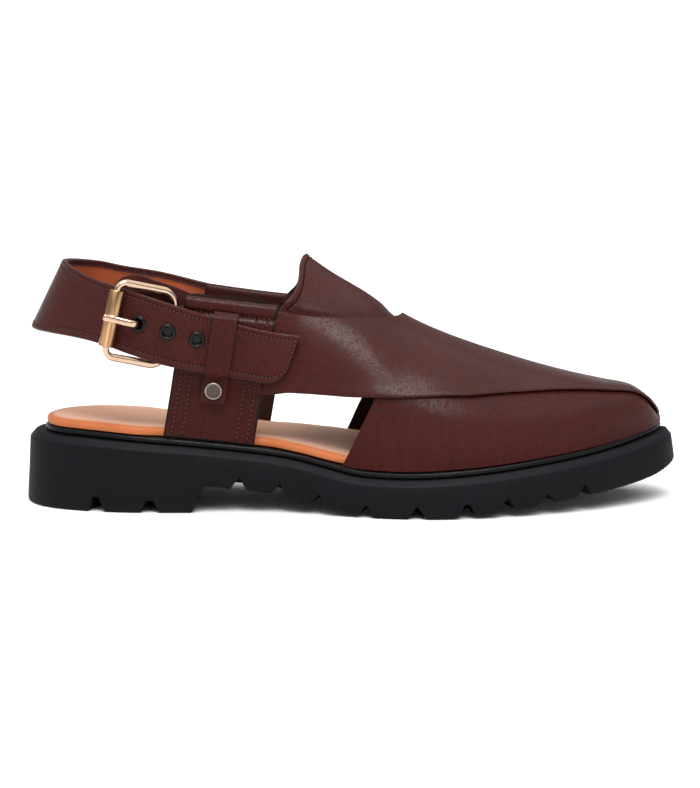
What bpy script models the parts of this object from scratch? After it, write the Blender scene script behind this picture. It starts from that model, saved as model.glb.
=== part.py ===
"""Peshawari chappal, right foot: two crossed vamp bands and a tongue on a lugged sole, with a buckled heel strap.

Metres, +Z up, toe towards +X, the inner (medial) side of the foot towards +Y. The origin is on the floor, in the
middle of the flat of the heel.
"""

import math

import bmesh
import bpy
from mathutils import Vector

# Sole
SOLE_LENGTH = 0.3020
BALL_WIDTH = 0.1025
HEEL_HEIGHT = 0.0333
HEEL_REST = 0.0470
SOLE_FLARE = 0.0018
BOTTOM_BEVEL = 0.0015
RIM_CHAMFER = 0.0026
NOTCH_REACH = 0.0170
NOTCH_OVERSHOOT = 0.0060

# Midsole and insole
MIDSOLE_THICKNESS = 0.0028
INSOLE_THICKNESS = 0.0040
INSOLE_ROLL = 0.0014
ARCH_RISE = 0.0022
SEAT_GAP = 0.0003
MIDSOLE_INSET = 0.0040

# Last and leather
INSTEP_HEIGHT = 0.1155
LAST_INSET = 0.0070
UNDER_BAND = 0.0019
OVER_BAND = 0.0028
OVER_BAND_LIFT = 0.0005
TONGUE_THICKNESS = 0.0020
TONGUE_LAP = 0.0011
SIDE_STRAP_WIDTH = 0.0413
SIDE_STRAP_FOLD = 0.0046
MEDIAL_SHIFT = 0.0050

# Heel strap, keeper and buckle
HEEL_STRAP_THICKNESS = 0.0026
HOLE_PITCH = 0.0134
HOLE_DIAMETER = 0.0058
EYELET_DIAMETER = 0.0074
EYELET_BORE = 0.0040
EYELET_BARREL = 0.0052
EYELET_FLANGE = 0.0006
KEEPER_WIDTH = 0.0114
KEEPER_THICKNESS = 0.0014
RIVET_DIAMETER = 0.0080
RIVET_HEAD = 0.0013
RIVET_SHANK = 0.0030
RAIL_DIAMETER = 0.0030
BUCKLE_LENGTH = 0.0253
BUCKLE_HEIGHT = 0.0352
ROLLER_CORNER = 0.0044
HINGE_CORNER = 0.0066
ROLLER_DIAMETER = 0.0062
ROLLER_LENGTH = 0.0257
PRONG_WIDTH = 0.0028
PRONG_THICKNESS = 0.0016
LOOP_WALL = 0.0014
LOOP_SLOT = 0.0060
RIVET_CUT_IN = 0.0120
RIVET_CUT_OUT = 0.0060
STRAP_CUT_IN = 0.0060
STRAP_CUT_OUT = 0.0040

# How fine the meshes are: steps, columns, rows and sides; and small steps that slopes are taken over.
OUTLINE_STEPS = 12
SOLE_STEPS = 32
BEND_CLEARANCE = 0.008
BAND_COLUMNS = 40
BAND_ROWS = 12
TOE_CROWDING = 1.35
TONGUE_COLUMNS = 22
TONGUE_ROWS = 9
SIDE_STRAP_COLUMNS = 5
SIDE_STRAP_ROWS = 15
STRAP_COLUMNS = 46
STRAP_ROWS = 3
STRAP_SEARCH = 400
KEEPER_ROWS = 24
PRONG_STEPS = 21
CORNER_STEPS = 5
RAIL_SIDES = 8
ROUND_SIDES = 12
ROLLER_SIDES = 16
RIVET_SIDES = 16
STATION_NUDGE = 0.00025
GIRTH_NUDGE = 0.004
STRAP_NUDGE = 0.002
HALVINGS = 30

# Ground outline of the outsole: x from the heel back, a share of SOLE_LENGTH; y, a share of BALL_WIDTH.
# It runs from the heel along the outer side to the toe, and back along the inner side.
SOLE_OUTLINE = (
    (0.000, 0.000), (0.011, -0.137), (0.040, -0.244), (0.093, -0.322), (0.166, -0.366), (0.265, -0.371),
    (0.348, -0.366), (0.414, -0.390), (0.497, -0.468), (0.579, -0.517), (0.652, -0.522), (0.728, -0.483),
    (0.811, -0.405), (0.887, -0.293), (0.947, -0.166), (0.983, -0.059), (1.000, 0.059), (0.992, 0.137),
    (0.960, 0.224), (0.901, 0.322), (0.828, 0.405), (0.745, 0.463), (0.662, 0.478), (0.579, 0.444),
    (0.497, 0.371), (0.414, 0.312), (0.331, 0.307), (0.248, 0.337), (0.166, 0.351), (0.093, 0.317),
    (0.040, 0.244), (0.011, 0.137),
)

# Heights of the outsole: station, a share of SOLE_LENGTH; height, a share of HEEL_HEIGHT.
SOLE_TOP = (
    (0.000, 1.000), (0.066, 0.997), (0.212, 0.919), (0.351, 0.793), (0.407, 0.721), (0.454, 0.628),
    (0.517, 0.523), (0.570, 0.508), (0.672, 0.553), (0.808, 0.682), (0.907, 0.811), (1.000, 0.976),
)
SOLE_BOTTOM = (
    (0.000, 0.000), (0.2566, 0.000), (0.2765, 0.350), (0.315, 0.327), (0.377, 0.255), (0.434, 0.156),
    (0.467, 0.090), (0.508, 0.039), (0.536, 0.000), (0.609, 0.000), (0.659, 0.024), (0.712, 0.072),
    (0.775, 0.132), (0.836, 0.210), (0.877, 0.246), (0.957, 0.360), (1.000, 0.500),
)

# Side notches between the lugs: station, width, depth, flat of the root and lean of the root towards the toe.
# The station is a share of SOLE_LENGTH and the rest are shares of NOTCH_REACH.
NOTCHES = (
    (0.1142, 0.48, 0.38, 0.15, 0.00), (0.1954, 0.50, 0.31, 0.19, 0.00), (0.3285, 0.44, 0.32, 0.02, 0.03),
    (0.3884, 0.40, 0.33, 0.02, 0.07), (0.4500, 0.52, 0.31, 0.02, 0.04), (0.5209, 0.43, 0.30, 0.02, 0.02),
    (0.5964, 0.50, 0.32, 0.03, 0.00), (0.6702, 0.48, 0.31, 0.15, 0.00), (0.7285, 0.56, 0.30, 0.06, 0.03),
    (0.7911, 0.58, 0.25, 0.06, 0.00), (0.8483, 0.42, 0.29, 0.06, 0.00),
)

# The insole from its underside to its top: inset, a share of INSOLE_ROLL; rise, a share of INSOLE_THICKNESS.
INSOLE_PROFILE = ((0.0, 0.00), (-0.2, 0.45), (0.0, 0.80), (1.0, 1.00), (5.0, 0.96))
# The rise of its inner edge under the arch: its middle and reach are stations, its full height lies at a share of
# BALL_WIDTH from the middle line.
ARCH_MIDDLE = 0.50
ARCH_REACH = 0.14
ARCH_SIDE = 0.35

# How much further in than the midsole's own inset its edge lies: station, extra inset as a share of MIDSOLE_INSET.
MIDSOLE_EDGE = ((0.000, 0.80), (0.100, 0.35), (0.200, 0.00), (0.830, 0.00), (1.000, 0.25))

# The insole's inset from the sole's outline: station, share of LAST_INSET. It is nipped in beside the side straps.
INSOLE_EDGE = (
    (0.000, 1.15), (0.100, 0.90), (0.172, 0.76), (0.215, 1.13), (0.372, 1.13), (0.410, 0.86), (0.455, 0.88),
    (0.490, 1.16), (1.000, 1.20),
)

# Sections of the last: station, a share of SOLE_LENGTH; ridge height, a share of INSTEP_HEIGHT; then how far out
# the shoulder reaches, how far it drops, how far out the side swells and how high, as shares of the half section.
LAST_SECTIONS = (
    (0.199, 1.264, 0.80, 0.00, 1.10, 0.85), (0.331, 1.160, 0.80, 0.00, 1.10, 0.85),
    (0.397, 1.043, 0.62, 0.08, 1.15, 0.80), (0.425, 1.000, 0.55, 0.14, 1.15, 0.75),
    (0.465, 0.926, 0.52, 0.12, 1.13, 0.73), (0.521, 0.836, 0.48, 0.09, 1.10, 0.71),
    (0.576, 0.732, 0.46, 0.06, 1.08, 0.70), (0.636, 0.657, 0.46, 0.05, 1.07, 0.71),
    (0.735, 0.565, 0.50, 0.04, 1.05, 0.75), (0.828, 0.492, 0.55, 0.02, 1.05, 0.88),
    (0.894, 0.450, 0.60, 0.00, 1.05, 1.00), (0.927, 0.435, 0.60, 0.00, 1.05, 1.00),
    (0.950, 0.401, 0.60, 0.00, 1.05, 1.00), (0.9636, 0.359, 0.60, 0.00, 1.05, 1.00),
    (0.9735, 0.320, 0.60, 0.00, 1.05, 1.00),
)

# The ridge's sideways run: station, share of BALL_WIDTH. It bends in with the toe.
RIDGE_LINE = ((0.000, 0.000), (0.596, 0.000), (0.828, 0.024), (0.927, 0.044), (0.9768, 0.0732))

# Edges of a vamp band, from its arm to its root under the sole. Station, a share of SOLE_LENGTH; girth runs from
# 1 at the sole on the arm's side, through 0 at the ridge, to -1 at the sole on the root's side. The arm's end lies
# some way ahead of the buckle's hinge bar, in metres, at its lower and upper edge.
ARM_END_LOW = (0.0003, 0.826)
ARM_END_HIGH = (0.0047, 0.723)
FRONT_EDGE = (
    (0.298, 0.857), (0.3775, 0.876), (0.422, 0.841), (0.467, 0.806), (0.519, 0.765),
    (0.571, 0.715), (0.630, 0.663), (0.679, 0.630), (0.727, 0.580), (0.777, 0.532), (0.8275, 0.480),
    (0.890, 0.436), (0.937, 0.385), (0.965, 0.250), (0.9735, -0.250), (0.9760, -0.600), (0.9768, -1.000),
)
# The lower band runs on under the upper one round the toe, so no gap shows where they part.
UNDER_TOE = ((0.937, 0.385), (0.962, 0.330), (0.9715, 0.150), (0.9750, -0.350), (0.9762, -1.000))
REAR_EDGE = (
    (0.298, 0.702), (0.389, 0.617), (0.420, 0.552), (0.4625, 0.473), (0.5055, 0.386),
    (0.543, 0.270), (0.566, 0.100), (0.573, -0.080), (0.568, -0.250), (0.558, -0.420), (0.5475, -0.560),
    (0.534, -0.749), (0.5205, -0.840), (0.5085, -0.902), (0.497, -0.957), (0.4868, -1.000),
)

# The inner arm lies MEDIAL_SHIFT further ahead about this station, fading out over this reach.
SHIFT_MIDDLE = 0.42
SHIFT_REACH = 0.20

# Free edge of the tongue, round the collar: station and girth, from the ridge down one side.
TONGUE_EDGE = ((0.4215, 0.00), (0.4195, 0.10), (0.4182, 0.269), (0.4152, 0.380), (0.407, 0.487), (0.388, 0.620))
TONGUE_FRONT = 0.640

# Side strap: where its rear edge meets the sole and its folded top, and the drop of the top towards the toe.
SIDE_STRAP_REAR = 0.2150
SIDE_STRAP_LEAN = 0.0110
SIDE_STRAP_TOP = 0.848
SIDE_STRAP_TOP_DROP = 0.031
# Its outer face, from the sole to the top: share of its height, share of SIDE_STRAP_FOLD.
SIDE_STRAP_FACE = ((0.00, 0.57), (0.34, 0.57), (0.46, 1.00), (0.92, 1.00), (0.97, 0.90), (1.00, 0.66))
SIDE_STRAP_LINING = ((0.00, 0.00), (0.92, 0.00), (0.97, 0.08), (1.00, 0.34))

# Heel strap: its lower and upper edge, round the back of the heel. Station, a share of SOLE_LENGTH; side, a share
# of BALL_WIDTH; height, a share of INSTEP_HEIGHT.
HEEL_STRAP_BACK = (
    ((0.1490, 0.362, 0.660), (0.1400, 0.300, 0.908)),
    ((0.0990, 0.322, 0.688), (0.1030, 0.252, 0.939)),
    ((0.0464, 0.238, 0.703), (0.0760, 0.168, 0.953)),
    ((0.0135, 0.128, 0.707), (0.0590, 0.087, 0.961)),
    ((0.0043, 0.000, 0.708), (0.0526, 0.000, 0.963)),
    ((0.0135, -0.128, 0.706), (0.0590, -0.087, 0.960)),
    ((0.0417, -0.232, 0.702), (0.0775, -0.172, 0.944)),
    ((0.0848, -0.312, 0.690), (0.1130, -0.262, 0.914)),
    ((0.1242, -0.360, 0.668), (0.1470, -0.326, 0.892)),
)
# Where it lies on the shoe's side: station and height of its lower and upper edge, towards the toe.
HEEL_STRAP_MEDIAL = (
    ((0.386, 0.553), (0.398, 0.770)),
    ((0.318, 0.584), (0.332, 0.812)),
    ((0.250, 0.612), (0.262, 0.846)),
    ((0.196, 0.640), (0.196, 0.878)),
)
HEEL_STRAP_LATERAL = (
    ((0.1722, 0.637), (0.1888, 0.869)),
    ((0.2215, 0.600), (0.2417, 0.825)),
    ((0.2811, 0.567), (0.2997, 0.779)),
    ((0.3311, 0.539), (0.3493, 0.747)),
    ((0.3702, 0.516), (0.3907, 0.721)),
    ((0.3907, 0.527), (0.4123, 0.706)),
    ((0.3987, 0.556), (0.4225, 0.700)),
)
# Clearance of its inner face over the last, along the outer side: station, share of SIDE_STRAP_FOLD.
HEEL_STRAP_LIFT = ((0.150, 1.35), (0.200, 1.44), (0.245, 1.44), (0.305, 1.09), (0.450, 1.09))

# The roller's middle: station, a share of SOLE_LENGTH, and height, a share of INSTEP_HEIGHT.
ROLLER_MIDDLE = (0.1464, 0.775)
# Distance ahead of the roller's middle, in metres, and height, a share of INSTEP_HEIGHT.
FIRST_HOLE = (0.0109, 0.750)
# Distance ahead of the last strap hole, in metres, and height, a share of INSTEP_HEIGHT.
KEEPER_TOP = (0.0130, 0.800)
KEEPER_FOOT = (0.0063, 0.433)
RIVET_SEAT = (0.0068, 0.486)
# The keeper's clearance from its top down: share of its length, share of the rise over the strap. Each crosswise
# row drops towards the toe by KEEPER_TILT of the distance.
KEEPER_RUN = (
    (0.000, 0.00), (0.030, 0.45), (0.065, 0.95), (0.100, 1.00), (0.620, 1.00), (0.665, 0.92), (0.710, 0.45),
    (0.755, 0.04), (0.800, 0.00), (1.000, 0.00),
)
KEEPER_TILT = 0.12
# The keeper's rise over the strap, beside the strap's own thickness, as a share of SIDE_STRAP_FOLD.
KEEPER_RISE = 1.24
HOLE_COUNT = 3
BUCKLE_SLOPE = math.radians(-12.5)
# The row of holes falls more steeply than the buckle.
HOLE_SLOPE = 1.25 * BUCKLE_SLOPE

LATERAL = -1
MEDIAL = 1


def colour(red, green, blue):
    """Linear colour from an sRGB one."""
    return tuple((c / 12.92 if c <= 0.04045 else ((c + 0.055) / 1.055) ** 2.4) for c in (red, green, blue)) + (1.0,)


FINISHES = {
    "rubber": (colour(0.10, 0.11, 0.12), 0.55, 0.0),
    "black_rand": (colour(0.05, 0.05, 0.06), 0.25, 0.0),
    "insole_leather": (colour(0.80, 0.56, 0.40), 0.55, 0.0),
    "brown_leather": (colour(0.30, 0.12, 0.09), 0.32, 0.0),
    "gold": (colour(0.93, 0.76, 0.50), 0.18, 1.0),
    "black_metal": (colour(0.08, 0.08, 0.09), 0.25, 1.0),
    "dark_metal": (colour(0.40, 0.34, 0.32), 0.30, 1.0),
}


def finish(name):
    """The named finish as a Principled material, made once."""
    if name in bpy.data.materials:
        return bpy.data.materials[name]
    base, roughness, metallic = FINISHES[name]
    material = bpy.data.materials.new(name)
    material.use_nodes = True
    shader = material.node_tree.nodes["Principled BSDF"]
    shader.inputs["Base Color"].default_value = base
    shader.inputs["Roughness"].default_value = roughness
    shader.inputs["Metallic"].default_value = metallic
    return material


def curve_at(rows, station, column=1):
    """Smooth value of a table's column at a station, without overshoot between its rows."""
    last = len(rows) - 1
    if station <= rows[0][0]:
        return rows[0][column]
    if station >= rows[last][0]:
        return rows[last][column]
    k = next(i for i in range(last) if rows[i + 1][0] >= station)
    slopes = [(b[column] - a[column]) / (b[0] - a[0]) for a, b in zip(rows, rows[1:])]

    def tangent(i):
        if i == 0 or i == last:
            return slopes[min(i, last - 1)]
        a, b = slopes[i - 1], slopes[i]
        return 0.0 if a * b <= 0 else 2 * a * b / (a + b)

    width = rows[k + 1][0] - rows[k][0]
    t = (station - rows[k][0]) / width
    start = rows[k][column] * (1 + 2 * t) * (1 - t) ** 2 + tangent(k) * width * t * (1 - t) ** 2
    end = rows[k + 1][column] * t * t * (3 - 2 * t) + tangent(k + 1) * width * t * t * (t - 1)
    return start + end


def along(points, share, closed=False):
    """Point at a share of the way along a smooth curve through the points."""
    count = len(points)
    spans = count if closed else count - 1
    place = min(max(share, 0.0), 1.0) * spans
    k = min(int(place), spans - 1)
    t = place - k

    def knot(i):
        return points[i % count] if closed else points[min(max(i, 0), count - 1)]

    rows = zip(knot(k - 1), knot(k), knot(k + 1), knot(k + 2))
    return tuple(
        0.5 * (2 * b + (c - a) * t + (2 * a - 5 * b + 4 * c - d) * t * t + (3 * b - a - 3 * c + d) * t**3)
        for a, b, c, d in rows
    )


def inset_outline(inset):
    """The sole's outline as points, moved in by inset, which may depend on the station."""
    steps = OUTLINE_STEPS * len(SOLE_OUTLINE)
    points = [along(SOLE_OUTLINE, i / steps, closed=True) for i in range(steps)]
    points = [(x * SOLE_LENGTH, y * BALL_WIDTH) for x, y in points]
    moved = []
    for i, (x, y) in enumerate(points):
        behind, ahead = points[i - 1], points[(i + 1) % steps]
        run = Vector((ahead[0] - behind[0], ahead[1] - behind[1])).normalized()
        depth = inset(x / SOLE_LENGTH) if callable(inset) else inset
        moved.append((x - run.y * depth, y + run.x * depth))
    return moved


class Outline:
    """An inset outline of the sole, split into its two sides at the heel and the toe."""

    def __init__(self, inset):
        points = inset_outline(inset)
        heel = min(range(len(points)), key=lambda i: points[i][0])
        toe = max(range(len(points)), key=lambda i: points[i][0])
        turned = points[heel:] + points[:heel]
        split = (toe - heel) % len(points)
        self.heel, self.toe = turned[0], turned[split]
        self.sides = {LATERAL: turned[: split + 1], MEDIAL: (turned[split:] + turned[:1])[::-1]}

    def side(self, side, x):
        """y of this side at x."""
        points = self.sides[side]
        if x <= points[0][0]:
            return points[0][1]
        for (xa, ya), (xb, yb) in zip(points, points[1:]):
            if xa <= x <= xb and xb > xa:
                return ya + (yb - ya) * (x - xa) / (xb - xa)
        return points[-1][1]


def sole_top(x):
    return curve_at(SOLE_TOP, x / SOLE_LENGTH) * HEEL_HEIGHT


def sole_bottom(x):
    return curve_at(SOLE_BOTTOM, x / SOLE_LENGTH) * HEEL_HEIGHT


def upper_foot(x):
    """Height at which the upper stands on the midsole."""
    return sole_top(x) + SEAT_GAP + MIDSOLE_THICKNESS + 2 * SEAT_GAP


LAST_OUTLINE = Outline(LAST_INSET)
LAST_END = LAST_OUTLINE.toe[0] - SEAT_GAP


def last_point(x, girth):
    """Point of the last at a station in metres; girth is -1 at the outer sole line, 0 on the ridge, 1 inside."""
    x = min(x, LAST_END)
    station = x / SOLE_LENGTH
    side = LATERAL if girth < 0 else MEDIAL
    ridge = curve_at(RIDGE_LINE, station) * BALL_WIDTH
    reach = LAST_OUTLINE.side(side, x) - ridge
    foot = upper_foot(x)
    height = curve_at(LAST_SECTIONS, station) * INSTEP_HEIGHT - foot
    shoulder, drop, swell, swell_height = (curve_at(LAST_SECTIONS, station, k) for k in (2, 3, 4, 5))
    t = abs(girth)
    out = 3 * (1 - t) ** 2 * t * shoulder + 3 * (1 - t) * t * t * swell + t**3
    up = (1 - t) ** 3 + 3 * (1 - t) ** 2 * t * (1 - drop) + 3 * (1 - t) * t * t * swell_height
    return Vector((x, ridge + reach * out, foot + height * up))


def leather_point(x, girth, lift):
    """Point at a height of lift over the last's surface."""
    x = min(x, LAST_END - STATION_NUDGE)
    ahead = last_point(x + STATION_NUDGE, girth) - last_point(x - STATION_NUDGE, girth)
    across = last_point(x, girth + GIRTH_NUDGE) - last_point(x, girth - GIRTH_NUDGE)
    return last_point(x, girth) + ahead.cross(across).normalized() * lift


def side_point(side, x, height, lift):
    """Point over the last on one side, at a given height above the floor."""
    low, high = 0.0, 1.0
    for _ in range(HALVINGS):
        middle = (low + high) / 2
        if last_point(x, side * middle).z > height:
            low = middle
        else:
            high = middle
    return leather_point(x, side * low, lift)


def placed(point):
    """From the heel back to the origin in the middle of the heel's flat."""
    return Vector(point) - Vector((HEEL_REST, 0.0, 0.0))


def node(name, bm, material):
    """A named object from a closed mesh, its faces turned out."""
    for vert in bm.verts:
        vert.co = placed(vert.co)
    bmesh.ops.recalc_face_normals(bm, faces=bm.faces)
    mesh = bpy.data.meshes.new(name)
    bm.to_mesh(mesh)
    bm.free()
    mesh.shade_smooth()
    mesh.set_sharp_from_angle(angle=math.radians(35))
    obj = bpy.data.objects.new(name, mesh)
    bpy.context.scene.collection.objects.link(obj)
    mesh.materials.append(finish(material))
    return obj


def helper(name, bm):
    """A cutter or a piece that is fused to another: never rendered by itself."""
    obj = node(name, bm, "brown_leather")
    obj.hide_render = True
    obj.display_type = "WIRE"
    return obj


def boolean(obj, other, operation):
    modifier = obj.modifiers.new(f"{operation.lower()} {other.name}", "BOOLEAN")
    modifier.operation = operation
    modifier.solver = "EXACT"
    modifier.object = other
    return modifier


def skin(bm, rings, close_ends=True):
    """Faces between rings of the same count, with flat ends."""
    rows = [[bm.verts.new(p) for p in ring] for ring in rings]
    count = len(rows[0])
    for low, high in zip(rows, rows[1:]):
        for i in range(count):
            bm.faces.new((low[i], low[(i + 1) % count], high[(i + 1) % count], high[i]))
    if close_ends:
        bm.faces.new(rows[0][::-1])
        bm.faces.new(rows[-1])
    return rows


def plate(columns, rows, inner, outer):
    """A closed plate; inner and outer give the point of each face at shares u and v."""
    bm = bmesh.new()
    faces = []
    for face in (inner, outer):
        faces.append([[bm.verts.new(face(i / columns, j / rows)) for j in range(rows + 1)] for i in range(columns + 1)])
    low, high = faces
    for i in range(columns):
        for j in range(rows):
            bm.faces.new((low[i][j], low[i][j + 1], low[i + 1][j + 1], low[i + 1][j]))
            bm.faces.new((high[i][j], high[i + 1][j], high[i + 1][j + 1], high[i][j + 1]))
    border = [(i, 0) for i in range(columns)] + [(columns, j) for j in range(rows)]
    border += [(i, rows) for i in range(columns, 0, -1)] + [(0, j) for j in range(rows, 0, -1)]
    for (i, j), (k, m) in zip(border, border[1:] + border[:1]):
        bm.faces.new((low[i][j], low[k][m], high[k][m], high[i][j]))
    return bm


# Sole


def sole_stations():
    """Stations of the sole: close together round heel and toe, and on each bend of its underside."""
    round_ends = [0.5 - 0.5 * math.cos(math.pi * i / SOLE_STEPS) for i in range(SOLE_STEPS + 1)]
    bends = [row[0] for row in SOLE_BOTTOM[1:-1]]
    kept = [s for s in round_ends if all(abs(s - b) > BEND_CLEARANCE for b in bends)]
    return sorted(set(kept + bends))


def outline_loop(inset, height, stations):
    """Loop of the outline at the stations, with its heel and toe tip; height depends on x and the side."""
    outline = Outline(inset)
    start, end = outline.heel[0], outline.toe[0]
    xs = [start + (end - start) * s for s in stations[1:-1]]
    lateral = [(x, outline.side(LATERAL, x)) for x in xs]
    medial = [(x, outline.side(MEDIAL, x)) for x in xs]
    flat = [outline.heel] + lateral + [outline.toe] + medial[::-1]
    return [Vector((x, y, height(x, y))) for x, y in flat]


def stack(loops):
    """A closed body from outline loops, bottom to top, with its ends bridged from side to side."""
    bm = bmesh.new()
    rows = skin(bm, loops, close_ends=False)
    count = len(rows[0])
    for row, turn in ((rows[0], False), (rows[-1], True)):
        half = count // 2
        for i in range(half):
            corners = [row[i], row[i + 1], row[(count - i - 1) % count], row[(count - i) % count]]
            corners = list(dict.fromkeys(corners))
            bm.faces.new(corners if turn else corners[::-1])
    return bm


def notch_cutters():
    """One wedge for each notch, on both sides, square to the outline."""
    bm = bmesh.new()
    outline = Outline(0.0)
    for station, width, depth, flat, lean in NOTCHES:
        x = station * SOLE_LENGTH
        for side in (LATERAL, MEDIAL):
            y = outline.side(side, x)
            step = 0.01 * SOLE_LENGTH
            run = Vector((2 * step, outline.side(side, x + step) - outline.side(side, x - step), 0)).normalized()
            inward = Vector((run.y, -run.x, 0)) * side
            floor = sole_bottom(x)
            low = floor - BOTTOM_BEVEL
            slant = (sole_bottom(x + step) - sole_bottom(x - step)) / (2 * step)
            half = width * NOTCH_REACH / 2
            grow = 1 + BOTTOM_BEVEL / (depth * NOTCH_REACH)
            root = flat * NOTCH_REACH / 2
            shift = lean * NOTCH_REACH
            section = ((-half * grow, low - floor), (-root + shift, depth * NOTCH_REACH))
            section += ((root + shift, depth * NOTCH_REACH), (half * grow, low - floor))
            rings = []
            for reach in (-NOTCH_OVERSHOOT, NOTCH_REACH):
                base = Vector((x, y, floor)) + inward * reach
                rings.append([base + run * a + Vector((0, 0, b + slant * a)) for a, b in section])
            skin(bm, rings)
    return bm


def midsole_inset(station):
    return MIDSOLE_INSET * (1 + curve_at(MIDSOLE_EDGE, station))


def insole_inset(station):
    return LAST_INSET * curve_at(INSOLE_EDGE, station)


def make_outsole():
    stations = sole_stations()
    loops = [
        outline_loop(BOTTOM_BEVEL - SOLE_FLARE, lambda x, y: sole_bottom(x), stations),
        outline_loop(-SOLE_FLARE, lambda x, y: sole_bottom(x) + BOTTOM_BEVEL, stations),
        outline_loop(0.0, lambda x, y: sole_top(x) - RIM_CHAMFER, stations),
        outline_loop(RIM_CHAMFER, lambda x, y: sole_top(x), stations),
    ]
    outsole = node("outsole", stack(loops), "rubber")
    boolean(outsole, helper("notch_cutters", notch_cutters()), "DIFFERENCE")


def make_midsole():
    """The band on the outsole's ledge, its edge a little proud at mid height."""
    stations = sole_stations()
    loops = []
    for bulge, rise in ((0.0, 0.0), (SEAT_GAP, 0.5), (0.0, 1.0)):

        def inset(station, bulge=bulge):
            return midsole_inset(station) - bulge

        def height(x, y, rise=rise):
            return sole_top(x) + SEAT_GAP + rise * MIDSOLE_THICKNESS

        loops.append(outline_loop(inset, height, stations))
    node("midsole", stack(loops), "black_rand")


def arch_rise(x, y):
    """Rise of the insole's inner edge under the arch."""
    near = max(0.0, 1 - abs(x / SOLE_LENGTH - ARCH_MIDDLE) / ARCH_REACH)
    return ARCH_RISE * near**2 * (3 - 2 * near) * max(0.0, y / (ARCH_SIDE * BALL_WIDTH))


def make_insole():
    stations = sole_stations()
    base = MIDSOLE_THICKNESS + 2 * SEAT_GAP
    loops = []
    for roll, rise in INSOLE_PROFILE:

        def inset(station, roll=roll):
            return insole_inset(station) + roll * INSOLE_ROLL

        def height(x, y, rise=rise):
            return sole_top(x) + base + rise * (INSOLE_THICKNESS + arch_rise(x, y))

        loops.append(outline_loop(inset, height, stations))
    node("insole", stack(loops), "insole_leather")


# Upper


def between(a, b, share):
    return tuple(p + (q - p) * share for p, q in zip(a, b))


def hinge_station(ahead):
    """Station of a point that lies some way ahead of the buckle's hinge bar."""
    return ROLLER_MIDDLE[0] + (BUCKLE_LENGTH * math.cos(BUCKLE_SLOPE) + ahead) / SOLE_LENGTH


def vamp_band(name, arm_side, inner_lift, outer_lift, shift):
    """A band from its arm on one side, over the ridge, to its root along the sole on the other side."""
    low, high = ((hinge_station(ahead), girth) for ahead, girth in (ARM_END_LOW, ARM_END_HIGH))
    front = (low,) + (FRONT_EDGE if arm_side == LATERAL else FRONT_EDGE[: -len(UNDER_TOE)] + UNDER_TOE)
    rear = (high,) + REAR_EDGE

    def place(u, v):
        u = 1 - (1 - u) ** TOE_CROWDING
        station, girth = between(along(front, u), along(rear, u), v**TOE_CROWDING)
        ahead = shift * max(0.0, 1 - abs(station - SHIFT_MIDDLE) / SHIFT_REACH)
        return station * SOLE_LENGTH + ahead, arm_side * girth

    def face(lift):
        return lambda u, v: leather_point(*place(u, v), lift)

    return helper(name, plate(BAND_COLUMNS, BAND_ROWS, face(inner_lift), face(outer_lift)))


def tongue_plate():
    """The tongue, under both bands, with its peak at the collar."""
    mirrored = [(x, -g) for x, g in TONGUE_EDGE[:0:-1]] + list(TONGUE_EDGE)

    def place(u, v):
        station, girth = along(mirrored, u)
        front = (TONGUE_FRONT, girth)
        return between((station, girth), front, v)

    def face(lift):
        return lambda u, v: leather_point(place(u, v)[0] * SOLE_LENGTH, place(u, v)[1], lift)

    inner, outer = face(TONGUE_LAP - TONGUE_THICKNESS), face(TONGUE_LAP)
    return helper("tongue_plate", plate(TONGUE_COLUMNS, TONGUE_ROWS, inner, outer))


def side_strap(name, side, shift):
    """A side strap from the sole up to its fold over the band's arm."""

    def place(u, v):
        foot_x = SIDE_STRAP_REAR * SOLE_LENGTH + shift + u * SIDE_STRAP_WIDTH
        x = foot_x + SIDE_STRAP_LEAN * v
        top = (SIDE_STRAP_TOP - SIDE_STRAP_TOP_DROP * u) * INSTEP_HEIGHT
        foot = upper_foot(foot_x)
        return x, foot + (top - foot) * v

    def face(table):
        def at(u, v):
            x, height = place(u, v)
            lift = curve_at(table, v) * SIDE_STRAP_FOLD
            if v == 0:
                return leather_point(x, side, lift)
            return side_point(side, x, height, lift)

        return at

    faces = face(SIDE_STRAP_LINING), face(SIDE_STRAP_FACE)
    return helper(name, plate(SIDE_STRAP_COLUMNS, SIDE_STRAP_ROWS, *faces))


def sleeve(centre, axis, radius, length, hole, sides=ROUND_SIDES):
    """A round sleeve about an axis through centre."""
    bm = bmesh.new()
    turn = axis.to_track_quat("Z", "X").to_matrix()
    profile = ((hole, -length / 2), (radius, -length / 2), (radius, length / 2), (hole, length / 2))
    rings = []
    for i in range(sides):
        angle = 2 * math.pi * i / sides
        rings.append([centre + turn @ Vector((r * math.cos(angle), r * math.sin(angle), z)) for r, z in profile])
    rows = [[bm.verts.new(p) for p in ring] for ring in rings]
    for low, high in zip(rows, rows[1:] + rows[:1]):
        for i in range(4):
            bm.faces.new((low[i], low[(i + 1) % 4], high[(i + 1) % 4], high[i]))
    return bm


class Buckle:
    """Where the buckle's bars lie: the roller over the heel strap, the hinge bar in the arm's loops."""

    def __init__(self):
        x, height = ROLLER_MIDDLE[0] * SOLE_LENGTH, ROLLER_MIDDLE[1] * INSTEP_HEIGHT
        seat, normal, width = strap_seat(x, height)
        self.roller = seat + normal * (ROLLER_DIAMETER / 2 + 2 * SEAT_GAP)
        hinge_x = x + BUCKLE_LENGTH * math.cos(BUCKLE_SLOPE)
        hinge_height = height + BUCKLE_LENGTH * math.sin(BUCKLE_SLOPE)
        self.hinge = side_point(LATERAL, hinge_x, hinge_height, OVER_BAND_LIFT + OVER_BAND / 2)
        self.across = (self.hinge - self.roller).normalized()
        self.up = (width - self.across * width.dot(self.across)).normalized()
        self.out = self.across.cross(self.up).normalized()
        if self.out.y > 0:
            self.out = -self.out


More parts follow.
